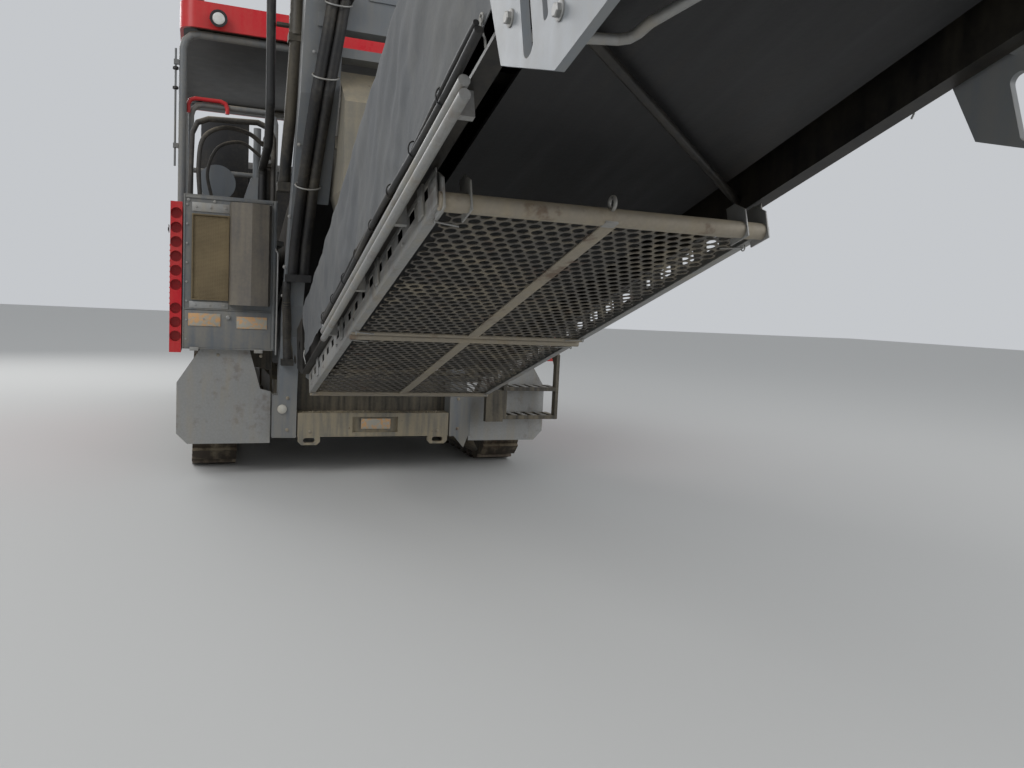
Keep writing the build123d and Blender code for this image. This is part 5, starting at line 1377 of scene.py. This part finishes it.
@dataclass
class MastHoses:
    """Wire loops and bolts of the hoses along the gantry's left leg, and the hoses round them."""

    sleeve_line: tuple[Row, ...] = (        # height, Y and distance from the leg's edge
        (3.225, 0.500, 0.062), (3.040, 0.523, 0.062), (2.660, 0.575, 0.049),
        (2.107, 0.622, 0.045), (1.717, 0.640, 0.045), (1.484, 0.645, 0.046))
    leg_edge: tuple[Pair, ...] = (          # height and X of the leg's rear edge
        (0.64, 0.0), (1.06, -0.030), (1.29, -0.166), (1.717, -0.305), (2.107, -0.497),
        (2.66, -0.740), (3.2, -0.840), (3.3, -0.840))
    loop_heights: tuple[float, ...] = (3.19, 2.76, 2.10)
    loop: Row = (0.046, 0.083, 0.030)       # reach of a loop rearwards, across and down
    bolt_heights: tuple[float, ...] = (1.36, 1.56, 1.9, 2.35, 2.9)
    air_hose: tuple[Point, ...] = (
        (-0.228, 0.716, 1.335), (-0.210, 0.712, 1.287), (-0.152, 0.700, 1.185),
        (-0.080, 0.690, 1.050), (-0.066, 0.684, 0.900))
    rib_pitch: float = 0.017
    rib: Profile = ((0, 0.0285), (0.002, 0.0318), (0.006, 0.0318), (0.008, 0.0285))
    small_hoses: tuple[tuple[float, tuple[Point, ...]], ...] = (       # radius and line
        (0.011, ((-0.01, 0.66, 1.02), (-0.035, 0.652, 0.93), (0.01, 0.645, 0.84),
                 (0.05, 0.63, 0.76), (0.07, 0.60, 0.66))),
        (0.009, ((0.00, 0.63, 1.00), (-0.012, 0.62, 0.88), (0.03, 0.61, 0.78),
                 (0.06, 0.58, 0.64))),
        (0.016, ((0.05, 1.30, 2.045), (0.03, 1.31, 2.25), (0.05, 1.28, 2.44),
                 (0.10, 1.15, 2.535), (0.16, 0.98, 2.53), (0.20, 0.86, 2.46))),
        (0.012, ((0.14, 1.22, 2.045), (0.13, 1.25, 2.22), (0.15, 1.18, 2.40),
                 (0.19, 1.02, 2.46), (0.22, 0.88, 2.38))),
    )
    port_heights: tuple[float, ...] = (2.335, 2.385, 2.435, 2.485)
    port: Profile = ((0, 0.015), (0.012, 0.015), (0.014, 0.011), (0.034, 0.011))

    def build(self) -> None:
        """Make the trim of the hoses."""
        self._loops()
        self._ribs()
        self._small_hoses()
        self._valve_block()

    def _sleeves(self, z: float) -> Vector:
        """Middle between the two sleeves.

        Args:
            z: Height over the ground.

        Returns:
            The point at that height.
        """
        heights, across, stands = zip(*reversed(self.sleeve_line))
        edge = float(np.interp(z, *zip(*self.leg_edge)))
        stand = float(np.interp(z, heights, stands))
        return at(edge - stand, float(np.interp(z, heights, across)), z)

    def _loops(self) -> None:
        """Wire loops that hold the sleeves to the leg, and the bolts beside them."""
        back, across, down = self.loop
        wires = Draft()
        for z in self.loop_heights:
            middle = self._sleeves(z)
            line = [middle + ACROSS * (across * c) - AHEAD * (back * s) - UP * (down * s)
                    for c, s in circle(24)]
            wires.tube(line, 0.0052, 8, closed=True)
        wires.make("mast_hose_loops", Coat.ZINC)
        bolts = Draft()
        for z in self.bolt_heights:
            bolts.bolt(self._sleeves(z) + ACROSS * 0.094 + AHEAD * 0.03, -AHEAD, 0.009)
        bolts.make("mast_bolts", Coat.ZINC)

    def _ribs(self) -> None:
        """Ribs of the corrugated air hose."""
        line = bend([at(*p) for p in self.air_hose], 12)
        lengths = [0.0]
        for a, b in zip(line, line[1:]):
            lengths.append(lengths[-1] + (b - a).length)
        ribs = Draft()
        for mark in np.arange(0.02, lengths[-1] - 0.02, self.rib_pitch):
            place, ahead = (Vector([float(np.interp(m, lengths, values)) for values in zip(*line)])
                            for m in (mark, mark + 0.01))
            ribs.lathe(place - (ahead - place) * 0.4, ahead - place, self.rib, 16)
        ribs.make("air_hose_ribs", Coat.HOSE)

    def _small_hoses(self) -> None:
        """Smaller hoses that leave the mast's foot or pass over the tower."""
        hoses = Draft()
        for radius, points in self.small_hoses:
            hoses.tube(bend([at(*p) for p in points], 8), radius, 12)
        hoses.make("mast_small_hoses", Coat.OLD_HOSE)

    def _valve_block(self) -> None:
        """Valve block between mast and tower, on its post, with ports and bolts."""
        block = Draft()
        block.box((0.16, 0.775, 2.30), (0.24, 0.865, 2.52))
        block.box((0.17, 0.79, 2.04), (0.23, 0.85, 2.30))
        block.make("valve_block", Coat.DARK, bevel=0.004)
        ports = Draft()
        for z in self.port_heights:
            ports.lathe(at(0.16, 0.82, z), -AHEAD, self.port, 12)
            ports.bolt(at(0.20, 0.865, z), ACROSS, 0.008)
        ports.make("valve_ports", Coat.ZINC)


@dataclass
class Lamps:
    """Beacon and work lamps in place of their CAD node, and the knobs of the marker rod."""

    fascia_x: float = 0.770
    lamp_y: tuple[float, ...] = (1.180, 0.480, -0.480, -1.180)
    lamp_z: float = 3.470
    housing: Profile = ((0, 0.024), (0.012, 0.040), (0.030, 0.056), (0.058, 0.065), (0.068, 0.065),
                        (0.068, 0.049), (0.060, 0.048))
    lens: Profile = ((0, 0.047), (0.006, 0.045), (0.010, 0.030), (0.012, 0.004))
    beacon: Point = (0.910, 1.330, 3.600)
    beacon_foot: Profile = ((0, 0.052), (0.008, 0.060), (0.030, 0.060), (0.036, 0.052),
                            (0.040, 0.050))
    dome: Profile = ((0.036, 0.048), (0.050, 0.0475), (0.085, 0.046), (0.105, 0.040),
                     (0.116, 0.024), (0.119, 0.006))
    knob: Profile = ((0, 0.016), (0.004, 0.022), (0.020, 0.022), (0.024, 0.016))
    knob_heights: tuple[float, ...] = (3.09, 2.94)
    sides: int = 32

    def build(self) -> None:
        """Make the lamps."""
        x, z = self.fascia_x, self.lamp_z
        housings, lenses = Draft(), Draft()
        for y in self.lamp_y:
            back = at(x, y, z)
            housings.lathe(back, -AHEAD, self.housing, self.sides)
            housings.box((x - 0.045, y - 0.066, z - 0.010), (x - 0.035, y + 0.066, z + 0.010))
            lead = [at(x - 0.03, y - 0.03, z - 0.04), at(x - 0.035, y - 0.045, 3.448),
                    at(x - 0.010, y - 0.05, 3.445)]
            housings.tube(lead, 0.003, 8)
            lenses.lathe(back - AHEAD * 0.058, -AHEAD, self.lens, self.sides)
        dark = housings.make("work_lamp_housings", Coat.PLASTIC)
        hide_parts("lamps")
        lenses.make("work_lamp_lenses", Coat.LAMP)
        foot = at(*self.beacon)
        Draft().lathe(foot, UP, self.beacon_foot, self.sides).make("beacon_base", Coat.PLASTIC)
        Draft().lathe(foot, UP, self.dome, self.sides).make("beacon_dome", Coat.AMBER)
        knobs = Draft()
        for height in self.knob_heights:
            knobs.lathe(at(0.860, 1.487, height - 0.012), UP, self.knob, 18)
        knobs.make("marker_rod_knobs", Coat.PLASTIC)


@dataclass
class BeamTrim:
    """Cap, bolts, recess plate and rubble of the rear beam, and the mudflaps' bolts."""

    cap: Profile = ((0, 0.034), (0.010, 0.034), (0.016, 0.026), (0.017, 0.004))
    recess_y: Pair = (-0.120, 0.110)
    recess_z: Pair = (0.362, 0.442)
    rubble_x: Pair = (0.012, 0.088)
    rubble_y: Pair = (-0.56, 0.57)
    rubble_z: float = 0.4865
    stones: int = 220
    stone_size: Pair = (0.003, 0.011)
    stone: tuple[Point, ...] = ((1, 0, 0.3), (0.2, 1, 0.2), (-1, 0.1, 0.3), (0, -1, 0.2),
                                (0.1, 0.1, 1.0), (0, 0, -0.4))
    seed: int = 3

    def build(self) -> None:
        """Make the trim."""
        Draft().lathe(at(-0.001, 0.706, 0.517), -AHEAD, self.cap, 28).make("leg_cap", Coat.CAP)
        (y0, y1), (z0, z1) = self.recess_y, self.recess_z
        plate = Draft().box((0.006, y0, z0), (0.014, y1, z1))
        plate.make("recess_plate", Coat.FADED, bevel=0.001)
        bolts = Draft()
        for y in both(0.500):
            bolts.bolt(at(-0.0005, y, 0.345), -AHEAD, 0.010)
        for y in both(0.668):
            for z in (0.36, 0.60):
                bolts.bolt(at(-0.0005, y, z), -AHEAD, 0.010)
        for y in (1.16, 0.86, -0.86, -1.16):
            bolts.bolt(at(0.0695, y, 0.905), -AHEAD, 0.009)
        bolts.make("beam_bolts", Coat.RUSTY)
        self._rubble()

    def _rubble(self) -> None:
        """Small stones and crumbs of mix that lie on the beam."""
        rng = np.random.default_rng(self.seed)
        faces = [(0, 1, 4), (1, 2, 4), (2, 3, 4), (3, 0, 4), (1, 0, 5), (2, 1, 5), (3, 2, 5),
                 (0, 3, 5)]
        stones = Draft()
        for _ in range(self.stones):
            size = float(rng.uniform(*self.stone_size))
            x, y = float(rng.uniform(*self.rubble_x)), float(rng.uniform(*self.rubble_y))
            middle = at(x, y, self.rubble_z)
            stones.put([middle + Vector(c) * size * float(rng.uniform(0.7, 1.2))
                        for c in self.stone], faces)
        stones.make("beam_rubble", Coat.BEAM, smooth=10)


@dataclass
class BoomTrim:
    """Cable, ties and bracket bolts that the discharge conveyor carries."""

    cable_u: Pair = (1.34, 3.90)
    cable_y: float = 0.702
    cable_v: float = -0.212
    cables: tuple[Row, ...] = ((0.012, 0.0, 0.0), (0.008, 0.018, 1.7))      # radius, lift, phase
    tie_pitch: float = 0.31
    bracket_u: float = 4.388
    bracket_y: float = 0.705
    bracket_bolts: tuple[Pair, ...] = ((-0.28, -0.32), (-0.05, -0.46), (0.10, -0.50),
                                       (0.24, -0.36), (-0.06, 0.30), (0.06, 0.30))

    def build(self) -> None:
        """Make the trim."""
        low, high = self.cable_u
        cable = Draft()
        for radius, lift, phase in self.cables:
            points = [boom_at(u, self.cable_y + 0.004 * math.sin(3 * u + phase),
                              self.cable_v + lift + 0.006 * math.sin(5 * u + phase))
                      for u in np.linspace(low, high, 16)]
            cable.tube(bend(points, 5), radius, 12)
        cable.make("boom_cable", Coat.HOSE, "boom")
        ties = Draft()
        for u in np.arange(low + 0.08, high, self.tie_pitch):
            line = [boom_at(u + 0.004 * s, self.cable_y + 0.016 * c,
                            self.cable_v + 0.008 + 0.024 * s) for c, s in circle(16)]
            ties.tube(line, 0.0026, 6, closed=True)
        ties.make("boom_cable_ties", Coat.PLASTIC, "boom")
        bolts = Draft()
        for y in both(self.bracket_y):
            for u, v in self.bracket_bolts:
                bolts.bolt(boom_at(self.bracket_u + u, y, v), ACROSS * outward(y), 0.014)
        bolts.make("bracket_bolts", Coat.ZINC, "boom")


@dataclass
class Seats:
    """Operators' seats: sewn cushions blown up as cloth, a moulded shell and a bellows foot."""

    place_x: float = 2.050
    place_y: float = 1.090
    floor: float = 1.8103
    voxel: float = 0.008            # size of the faces before the cloth run
    cap: float = 0.016              # metres that a point may move in the cloth run
    pressure: float = 4.0           # of the air inside a pad
    cloth_frames: int = 20          # length of the cloth run
    seam_width: float = 0.006
    seam_depth: float = 0.006
    folds: int = 7                  # folds of the bellows
    fold_pitch: float = 0.045

    def build(self) -> None:
        """Make both seats."""
        shells, frames = Draft(), Draft()
        for y in both(self.place_y):
            self._shell(shells, frames, y)
        shell = shells.make("seat_shells", Coat.PLASTIC, bevel=0.006)
        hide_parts("seats")
        frames.make("seat_feet", Coat.DARK, bevel=0.003)
        for form, (outline, half) in self._pads().items():
            pad = self._pad(form, outline, half)
            for side, sign in SIDES:
                piece = new_object(f"{form}_{side}", pad.copy())
                piece.data.transform(Matrix.Translation((0, sign * self.place_y, 0)))
                dress(piece, Coat.SEAT, "root", smooth=60)

    def _shell(self, shells: Draft, frames: Draft, y: float) -> None:
        """Moulded pan, back shell, armrests and foot of one seat.

        Args:
            shells: Draft of the plastic parts.
            frames: Draft of the metal plates over and under the bellows.
            y: Middle of the seat.
        """
        x, floor = self.place_x, self.floor
        shells.box((x - 0.235, y - 0.232, floor + 0.372), (x + 0.235, y + 0.232, floor + 0.398))
        low, high = (x - 0.262, floor + 0.40), (x - 0.322, floor + 1.09)
        outline = [low, (low[0] + 0.020, low[1]), (high[0] + 0.020, high[1]), high]
        shells.prism([at(px, y - 0.205, pz) for px, pz in outline], ACROSS * 0.41)
        for edge in (y - 0.236, y + 0.196):
            shells.box((x - 0.19, edge, floor + 0.62), (x + 0.10, edge + 0.040, floor + 0.655))
            shells.box((x - 0.235, edge + 0.012, floor + 0.50),
                       (x - 0.19, edge + 0.028, floor + 0.655))
        for step in range(self.folds):
            grow = 0.012 * (step % 2)
            lift = floor + step * self.fold_pitch
            shells.box((x - 0.135 - grow, y - 0.115 - grow, lift + 0.04),
                       (x + 0.135 + grow, y + 0.115 + grow, lift + 0.083))
        for foot, head in ((0.0005, 0.038), (0.352, 0.371)):
            frames.box((x - 0.15, y - 0.13, floor + foot), (x + 0.15, y + 0.13, floor + head))

    def _pads(self) -> dict[str, tuple[list[Pair], float]]:
        """Side outline and half width of each kind of pad.

        Returns:
            Outline and half width by the pad's name.
        """
        forms = {
            "seat_cushion": (((-0.215, 0.412), (0.235, 0.412), (0.242, 0.478), (-0.205, 0.468)),
                             0.215),
            "seat_back": (((-0.232, 0.505), (-0.150, 0.505), (-0.205, 0.86), (-0.268, 0.86)),
                          0.205),
            "seat_headrest": (((-0.272, 0.89), (-0.212, 0.89), (-0.232, 1.09), (-0.290, 1.09)),
                              0.150),
        }
        return {name: ([(self.place_x + x, self.floor + z) for x, z in outline], half)
                for name, (outline, half) in forms.items()}

    def _pad(self, name: str, outline: list[Pair], half: float) -> bpy.types.Mesh:
        """One pad about the middle plane: a rounded block, remeshed and blown up as cloth.

        Args:
            name: Name of the pad.
            outline: Its outline from the side, X and Z.
            half: Its half width.

        Returns:
            The pad's mesh.
        """
        block = Draft().prism([at(px, -half, pz) for px, pz in outline], ACROSS * 2 * half)
        piece = new_object(name, block.mesh(name))
        edges = piece.modifiers.new("edges", "BEVEL")
        edges.width, edges.segments = 0.022, 4
        remesh = piece.modifiers.new("remesh", "REMESH")
        remesh.mode, remesh.voxel_size = "VOXEL", self.voxel
        settle(piece)
        rest = [v.co.copy() for v in piece.data.vertices]
        self._blow_up(piece)
        for point, start in zip(piece.data.vertices, rest):
            move = point.co - start
            if move.length > self.cap:
                point.co = start + move.normalized() * self.cap
        self._seams(piece.data, outline, half)
        smooth = piece.modifiers.new("smooth", "SUBSURF")
        smooth.levels = smooth.render_levels = 1
        settle(piece)
        mesh = piece.data
        bpy.data.objects.remove(piece)
        return mesh

    def _blow_up(self, piece: bpy.types.Object) -> None:
        """Run a piece as cloth under pressure and keep the form it ends in.

        Args:
            piece: A closed piece without other modifiers.
        """
        cloth = piece.modifiers.new("cloth", "CLOTH")
        cloth.settings.use_pressure = True
        cloth.settings.uniform_pressure_force = self.pressure
        cloth.settings.effector_weights.gravity = 0.0
        cloth.settings.quality = 4
        for number in range(1, self.cloth_frames + 1):
            bpy.context.scene.frame_set(number)
        settle(piece)
        bpy.context.scene.frame_set(1)

    def _seams(self, mesh: bpy.types.Mesh, outline: list[Pair], half: float) -> None:
        """Sink three sewn channels along the pad.

        Args:
            mesh: The pad's mesh.
            outline: Its outline from the side, X and Z.
            half: Its half width.
        """
        middle = sum((at(px, 0, pz) for px, pz in outline), Vector()) / len(outline)
        for point in mesh.vertices:
            depth = sum(math.exp(-((point.co.y - seam) / self.seam_width) ** 2)
                        for seam in (-half * 0.55, 0.0, half * 0.55))
            inward = middle - point.co
            inward.y = 0
            if inward.length > 0.02:
                point.co += inward.normalized() * self.seam_depth * min(1.0, depth)


@dataclass
class LadderTrim:
    """Raised studs on the steps of the rear ladder."""

    steps: tuple[float, ...] = (0.49, 0.72)     # heights of the steps
    x: Pair = (-0.155, 0.045)       # rear and front end of a step's bars
    bar_y: tuple[float, ...] = (-1.015, -1.1025, -1.1875, -1.2725, -1.3575)
    pitch: float = 0.028
    stud: Profile = ((0, 0.009), (0.004, 0.007), (0.0045, 0.003))

    def build(self) -> None:
        """Make the studs."""
        cell = Draft().lathe(Vector(), UP, self.stud, 8)
        places = [at(float(x), y + shift, z + 0.0002) for z in self.steps for y in self.bar_y
                  for shift in (-0.010, 0.010) for x in np.arange(*self.x, self.pitch)]
        repeat("ladder_studs", cell, places, Coat.ZINC, "root")


@dataclass
class TrackTrim:
    """Shoe bolts, shoe ends and hub bolts of both tracks."""

    axles: Pair = (0.620, 3.450)        # X of the rear and the front axle
    axle_z: float = 0.375
    centre_y: float = 1.168
    half_width: float = 0.160
    shoes: int = 15
    shoe_z: float = 0.7502          # top of the upper shoes
    runs: tuple[Pair, ...] = ((0.7185, 0.7440), (0.0060, 0.0315))       # upper and lower shoes
    shoe_bolt: Profile = ((0, 0.012), (0.003, 0.012), (0.004, 0.009), (0.010, 0.009))
    hub_y: float = 1.2785           # outer face of the wheels' hubs
    hub_bolts: int = 8
    hub_radius: float = 0.080
    hub_cap: Profile = ((0, 0.045), (0.010, 0.045), (0.016, 0.036), (0.017, 0.008))

    def build(self) -> None:
        """Make the trim."""
        pitch = (self.axles[1] - self.axles[0]) / self.shoes
        marks = [self.axles[0] + (k + 0.5) * pitch for k in range(self.shoes)]
        for side, sign in SIDES:
            y = sign * self.centre_y
            cell = Draft().lathe(Vector(), UP, self.shoe_bolt, 6)
            tops = [at(x + dx, y + dy, self.shoe_z) for x in marks for dx in both(-0.030)
                    for dy in both(-0.07)]
            repeat(f"track_bolts_{side}", cell, tops, Coat.TRACK, "root")
            trim = Draft()
            for x in marks:
                for z0, z1 in self.runs:
                    for edge in both(self.half_width):
                        end = y + edge + outward(edge, 0.004)
                        trim.box((x - 0.050, y + edge, z0), (x + 0.050, end, z1))
            for x in self.axles:
                for a, b in circle(self.hub_bolts):
                    place = at(x + self.hub_radius * a, sign * self.hub_y,
                               self.axle_z + self.hub_radius * b)
                    trim.bolt(place, ACROSS * sign, 0.010)
                trim.lathe(at(x, sign * self.hub_y, self.axle_z), ACROSS * sign, self.hub_cap)
            trim.make(f"track_trim_{side}", Coat.TRACK, bevel=0.001)


@dataclass
class ConsoleTrim:
    """Displays, buttons and joystick on the desk in front of each seat."""

    rear: Pair = (3.130, 2.7003)        # X and Z of the desk's rear edge
    front: Pair = (3.480, 2.8203)
    station: float = 1.050
    clear: float = 0.0004           # room between the desk and what stands on it
    rows: int = 3
    columns: int = 7
    key_pitch: float = 0.042
    key: Profile = ((0, 0.013), (0.004, 0.013), (0.005, 0.010), (0.009, 0.0095))
    stick: Profile = ((0, 0.034), (0.008, 0.030), (0.022, 0.018), (0.030, 0.007), (0.085, 0.006),
                      (0.090, 0.017), (0.120, 0.019), (0.132, 0.010))

    def _desk(self, along: float, y: float, lift: float) -> Vector:
        """Place on the sloping desk.

        Args:
            along: Distance up the desk from its rear edge.
            y: Distance from the middle plane.
            lift: Height square to the desk.

        Returns:
            The point.
        """
        slope = math.atan2(self.front[1] - self.rear[1], self.front[0] - self.rear[0])
        return at(self.rear[0] + along * math.cos(slope) - lift * math.sin(slope), y,
                  self.rear[1] + along * math.sin(slope) + lift * math.cos(slope))

    def build(self) -> None:
        """Make the instruments."""
        dark, glass, keys = Draft(), Draft(), Draft()
        normal = self._desk(0, 0, 1) - self._desk(0, 0, 0)
        for y in both(self.station):
            dark.box((0.17, y - 0.13, self.clear), (0.34, y + 0.13, 0.022), self._desk)
            glass.box((0.185, y - 0.112, 0.0225), (0.325, y + 0.112, 0.0245), self._desk)
            for row in range(self.rows):
                for column in range(self.columns):
                    place = self._desk(0.045 + row * self.key_pitch,
                                       y - 0.165 + column * self.key_pitch, self.clear)
                    keys.lathe(place, normal, self.key, 14)
            stick = self._desk(0.10, y - outward(y, 0.165), self.clear)
            dark.lathe(stick, normal, self.stick, 20)
        dark.make("console_displays", Coat.PLASTIC, bevel=0.002)
        glass.make("console_glass", Coat.GLASS, bevel=0.0005)
        keys.make("console_buttons", Coat.CAP)


@dataclass
class PanelTrim:
    """Louvres and handles of the service doors, ribs on the roof and edging of the hopper."""

    louvres: int = 12
    louvre_z: float = 0.28          # lowest louvre over the door's lower edge
    louvre_pitch: float = 0.042
    louvre_half: float = 0.30       # half length
    louvre: tuple[Pair, ...] = ((0.0002, 0.0), (0.009, 0.002), (0.009, 0.005), (0.0002, 0.022))
    handle_inset: Pair = (0.14, 0.16)       # from the door's ends and from its top
    handle: tuple[tuple[float, Pair, Pair], ...] = (    # half length, heights, standing out
        (0.045, (-0.028, 0.028), (0.0002, 0.004)), (0.034, (-0.016, 0.006), (0.004, 0.005)))
    edging: tuple[float, ...] = (3.96, 4.4, 5.0, 5.74)      # along a wing's upper edge
    roof_y: tuple[float, ...] = (-1.10, -0.66, -0.22, 0.22, 0.66, 1.10)
    roof_inset: float = 0.12        # from the roof's ends to the ribs' ends
    roof_rib: tuple[Pair, ...] = ((-0.030, 0.0003), (0.030, 0.0003), (0.018, 0.012),
                                  (-0.018, 0.012))

    def build(self) -> None:
        """Make the trim."""
        for side, sign in SIDES:
            self._door(side, sign)
            lip = Draft().tube([at(x, sign * 0.988, 1.888) for x in self.edging], 0.012, 12)
            lip.make(f"wing_edging_{side}", Coat.PLASTIC, f"wing_{side}")
        low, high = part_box("canopy_roof")
        ribs = Draft()
        for y in self.roof_y:
            outline = [Vector((low.x + self.roof_inset, y + dy, high.z + dz))
                       for dy, dz in self.roof_rib]
            ribs.prism(outline, AHEAD * (high.x - low.x - 2 * self.roof_inset))
        ribs.make("roof_ribs", Coat.RED, bevel=0.002)
        low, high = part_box("front_flap")
        face = low.x - REAR_FACE_X
        strip = Draft().box((face + 0.002, low.y + 0.01, high.z - 0.07),
                            (face + 0.004, high.y - 0.01, high.z + 0.030))
        strip.make("flap_rubber", Coat.PLASTIC, "front_flap")

    def _door(self, side: str, sign: int) -> None:
        """Pressed louvres and two handles on one service door.

        Args:
            side: Side of the machine, as in the names of the pieces.
            sign: 1 on the left and -1 on the right.
        """
        low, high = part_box(f"side_door_{side}")
        face = high.y if sign > 0 else low.y
        start = (low.x + high.x) / 2 - self.louvre_half
        slats = Draft()
        for k in range(self.louvres):
            z = low.z + self.louvre_z + k * self.louvre_pitch
            outline = [Vector((start, face + sign * dy, z + dz)) for dy, dz in self.louvre]
            slats.prism(outline, AHEAD * 2 * self.louvre_half)
        slats.make(f"door_louvres_{side}", Coat.RED, f"side_door_{side}")
        end, drop = self.handle_inset
        handles = Draft()
        for x in (low.x + end, high.x - end):
            for half, (foot, head), (base, thick) in self.handle:
                corners = ((-half, foot), (half, foot), (half, head), (-half, head))
                outline = [Vector((x + dx, face + sign * base, high.z - drop + dz))
                           for dx, dz in corners]
                handles.prism(outline, ACROSS * sign * thick)
        handles.make(f"door_handles_{side}", Coat.PLASTIC, f"side_door_{side}", bevel=0.001)


@dataclass
class CadFinishes:
    """Finishes of the CAD nodes, also of those that a piece of the scene replaces."""

    table: tuple[tuple[Coat, tuple[str, ...]], ...] = (
        (Coat.RED, ("side_panels", "side_door_left", "side_door_right", "canopy_roof", "grab_bar")),
        (Coat.GREY, ("body_left", "body_right", "platform_floor", "guard_rails", "canopy_frame",
                     "wing_left", "wing_right", "front_flap", "wing_barrel_left",
                     "wing_barrel_right", "slewing_cradle")),
        (Coat.PALE, ("gantry", "slewing_head", "luff_barrels", "air_intake")),
        (Coat.STEEL_GREY, ("suspension_brackets",)),
        (Coat.DARK, ("chassis_frame", "main_conveyor_frame", "track_frames", "push_beam", "ladder",
                     "engine_block", "mast_cylinder", "front_beam", "outriggers")),
        (Coat.BLACK, ("boom_frame", "roof_lining", "tip_hood")),
        (Coat.HOSE, ("mast_hoses",)),
        (Coat.BEAM, ("rear_beam", "hopper_tub", "transfer_chute")),
        (Coat.BROWN, ("air_duct",)),
        (Coat.ZINC, ("mudflaps", "belt_guard", "boom_lines")),
        (Coat.OLD_HOSE, ("tower_pipes",)),
        (Coat.COOLER, ("radiator_grille",)),
        (Coat.TRACK, ("track_left", "track_right", "push_roller_left", "push_roller_right")),
        (Coat.CHROME, ("luff_rods", "wing_rod_left", "wing_rod_right")),
        (Coat.BELT, ("boom_belt", "main_conveyor_belt")),
        (Coat.TARP, ("boom_cover",)),
        (Coat.PLASTIC, ("console",)),
        (Coat.SEAT, ("seats",)),
        (Coat.AMBER, ("lamps",)),
    )

    def dress(self) -> None:
        """Give each listed node its finish."""
        for finish, names in self.table:
            for name in names:
                mesh = frame["nodes"][name].data
                mesh.materials.clear()
                mesh.materials.append(coat(finish))
            log.info("%s on %d nodes", finish.value.name, len(names))


@dataclass
class Studio:
    """Pale floor, soft lamps and the camera at the photograph's place."""

    floor_half: float = 60.0
    camera_place: Point = (-6.31, 1.307, 1.345)     # from the rear beam's rear face, metres
    yaw: float = 21.0586        # degrees to the right of straight ahead
    pitch: float = 5.2168       # degrees down
    roll: float = 2.7651        # degrees, the horizon drops to the right
    lens: float = 28.97
    sensor: float = 36.0
    sky: Colour = (0.93, 0.96, 1.0)
    sky_strength: float = 0.60
    aim: Point = (-1.0, 0.0, 1.2)
    lamps: tuple[tuple[str, Point, float, float], ...] = (      # name, place, size and watts
        ("key_lamp", (-9.0, 11.0, 10.0), 8.0, 900.0),
        ("fill_lamp", (-9.0, -7.0, 5.0), 7.0, 300.0),
        ("front_lamp", (9.0, 5.0, 7.0), 6.0, 400.0),
    )

    def build(self) -> None:
        """Make the floor, the light and the camera."""
        self._floor()
        self._lights()
        self._camera()

    def _floor(self) -> None:
        """Make the pale floor, which isn't part of the object."""
        half = self.floor_half
        mesh = bpy.data.meshes.new("floor")
        corners = [(-half, -half, 0), (half, -half, 0), (half, half, 0), (-half, half, 0)]
        mesh.from_pydata(corners, [], [(0, 1, 2, 3)])
        floor = new_object("floor", mesh)
        pale = Surface("floor").finish(Base_Color=srgb(196, 196, 194), Roughness=0.9,
                                       Specular_IOR_Level=0.1)
        mesh.materials.append(pale)

    def _lights(self) -> None:
        """Set a pale sky and three soft lamps."""
        world = bpy.data.worlds.new("studio")
        world.use_nodes = True
        bpy.context.scene.world = world
        back = world.node_tree.nodes["Background"]
        back.inputs["Color"].default_value = (*self.sky, 1.0)
        back.inputs["Strength"].default_value = self.sky_strength
        for name, place, size, power in self.lamps:
            lamp = bpy.data.lights.new(name, "AREA")
            lamp.size = size
            lamp.energy = power
            holder = new_object(name, lamp)
            holder.location = at(*place)
            look = at(*self.aim) - holder.location
            holder.rotation_euler = look.to_track_quat("-Z", "Y").to_euler()

    def _camera(self) -> None:
        """Set the camera that sees the object as the photograph does."""
        yaw, pitch, roll = (math.radians(a) for a in (self.yaw, self.pitch, self.roll))
        forward = Vector((math.cos(yaw) * math.cos(pitch), -math.sin(yaw) * math.cos(pitch),
                          -math.sin(pitch)))
        level_right = Vector((-math.sin(yaw), -math.cos(yaw), 0))
        level_down = forward.cross(level_right)
        right = level_right * math.cos(roll) - level_down * math.sin(roll)
        down = level_down * math.cos(roll) + level_right * math.sin(roll)
        data = bpy.data.cameras.new("camera")
        data.lens = self.lens
        data.sensor_width = self.sensor
        data.clip_end = 200.0
        holder = new_object("camera", data)
        turn = Matrix((right, -down, -forward)).transposed()
        holder.matrix_world = Matrix.Translation(at(*self.camera_place)) @ turn.to_4x4()
        bpy.context.scene.camera = holder


def main() -> None:
    """Build the studio, the finishes and the sub-assemblies in order."""
    bpy.context.scene.view_settings.view_transform = "Standard"
    Studio().build()
    CadFinishes().dress()
    PerforatedGuard().build()
    TarpCover().build()
    for part in (TowerTrim, MastHoses, Lamps, BeamTrim, BoomTrim, LadderTrim, TrackTrim,
                 ConsoleTrim, PanelTrim, Seats):
        part().build()
        log.info("%s made", part.__name__)


if __name__ == "__main__":
    logging.basicConfig(level=logging.INFO, format="%(message)s")
    main()
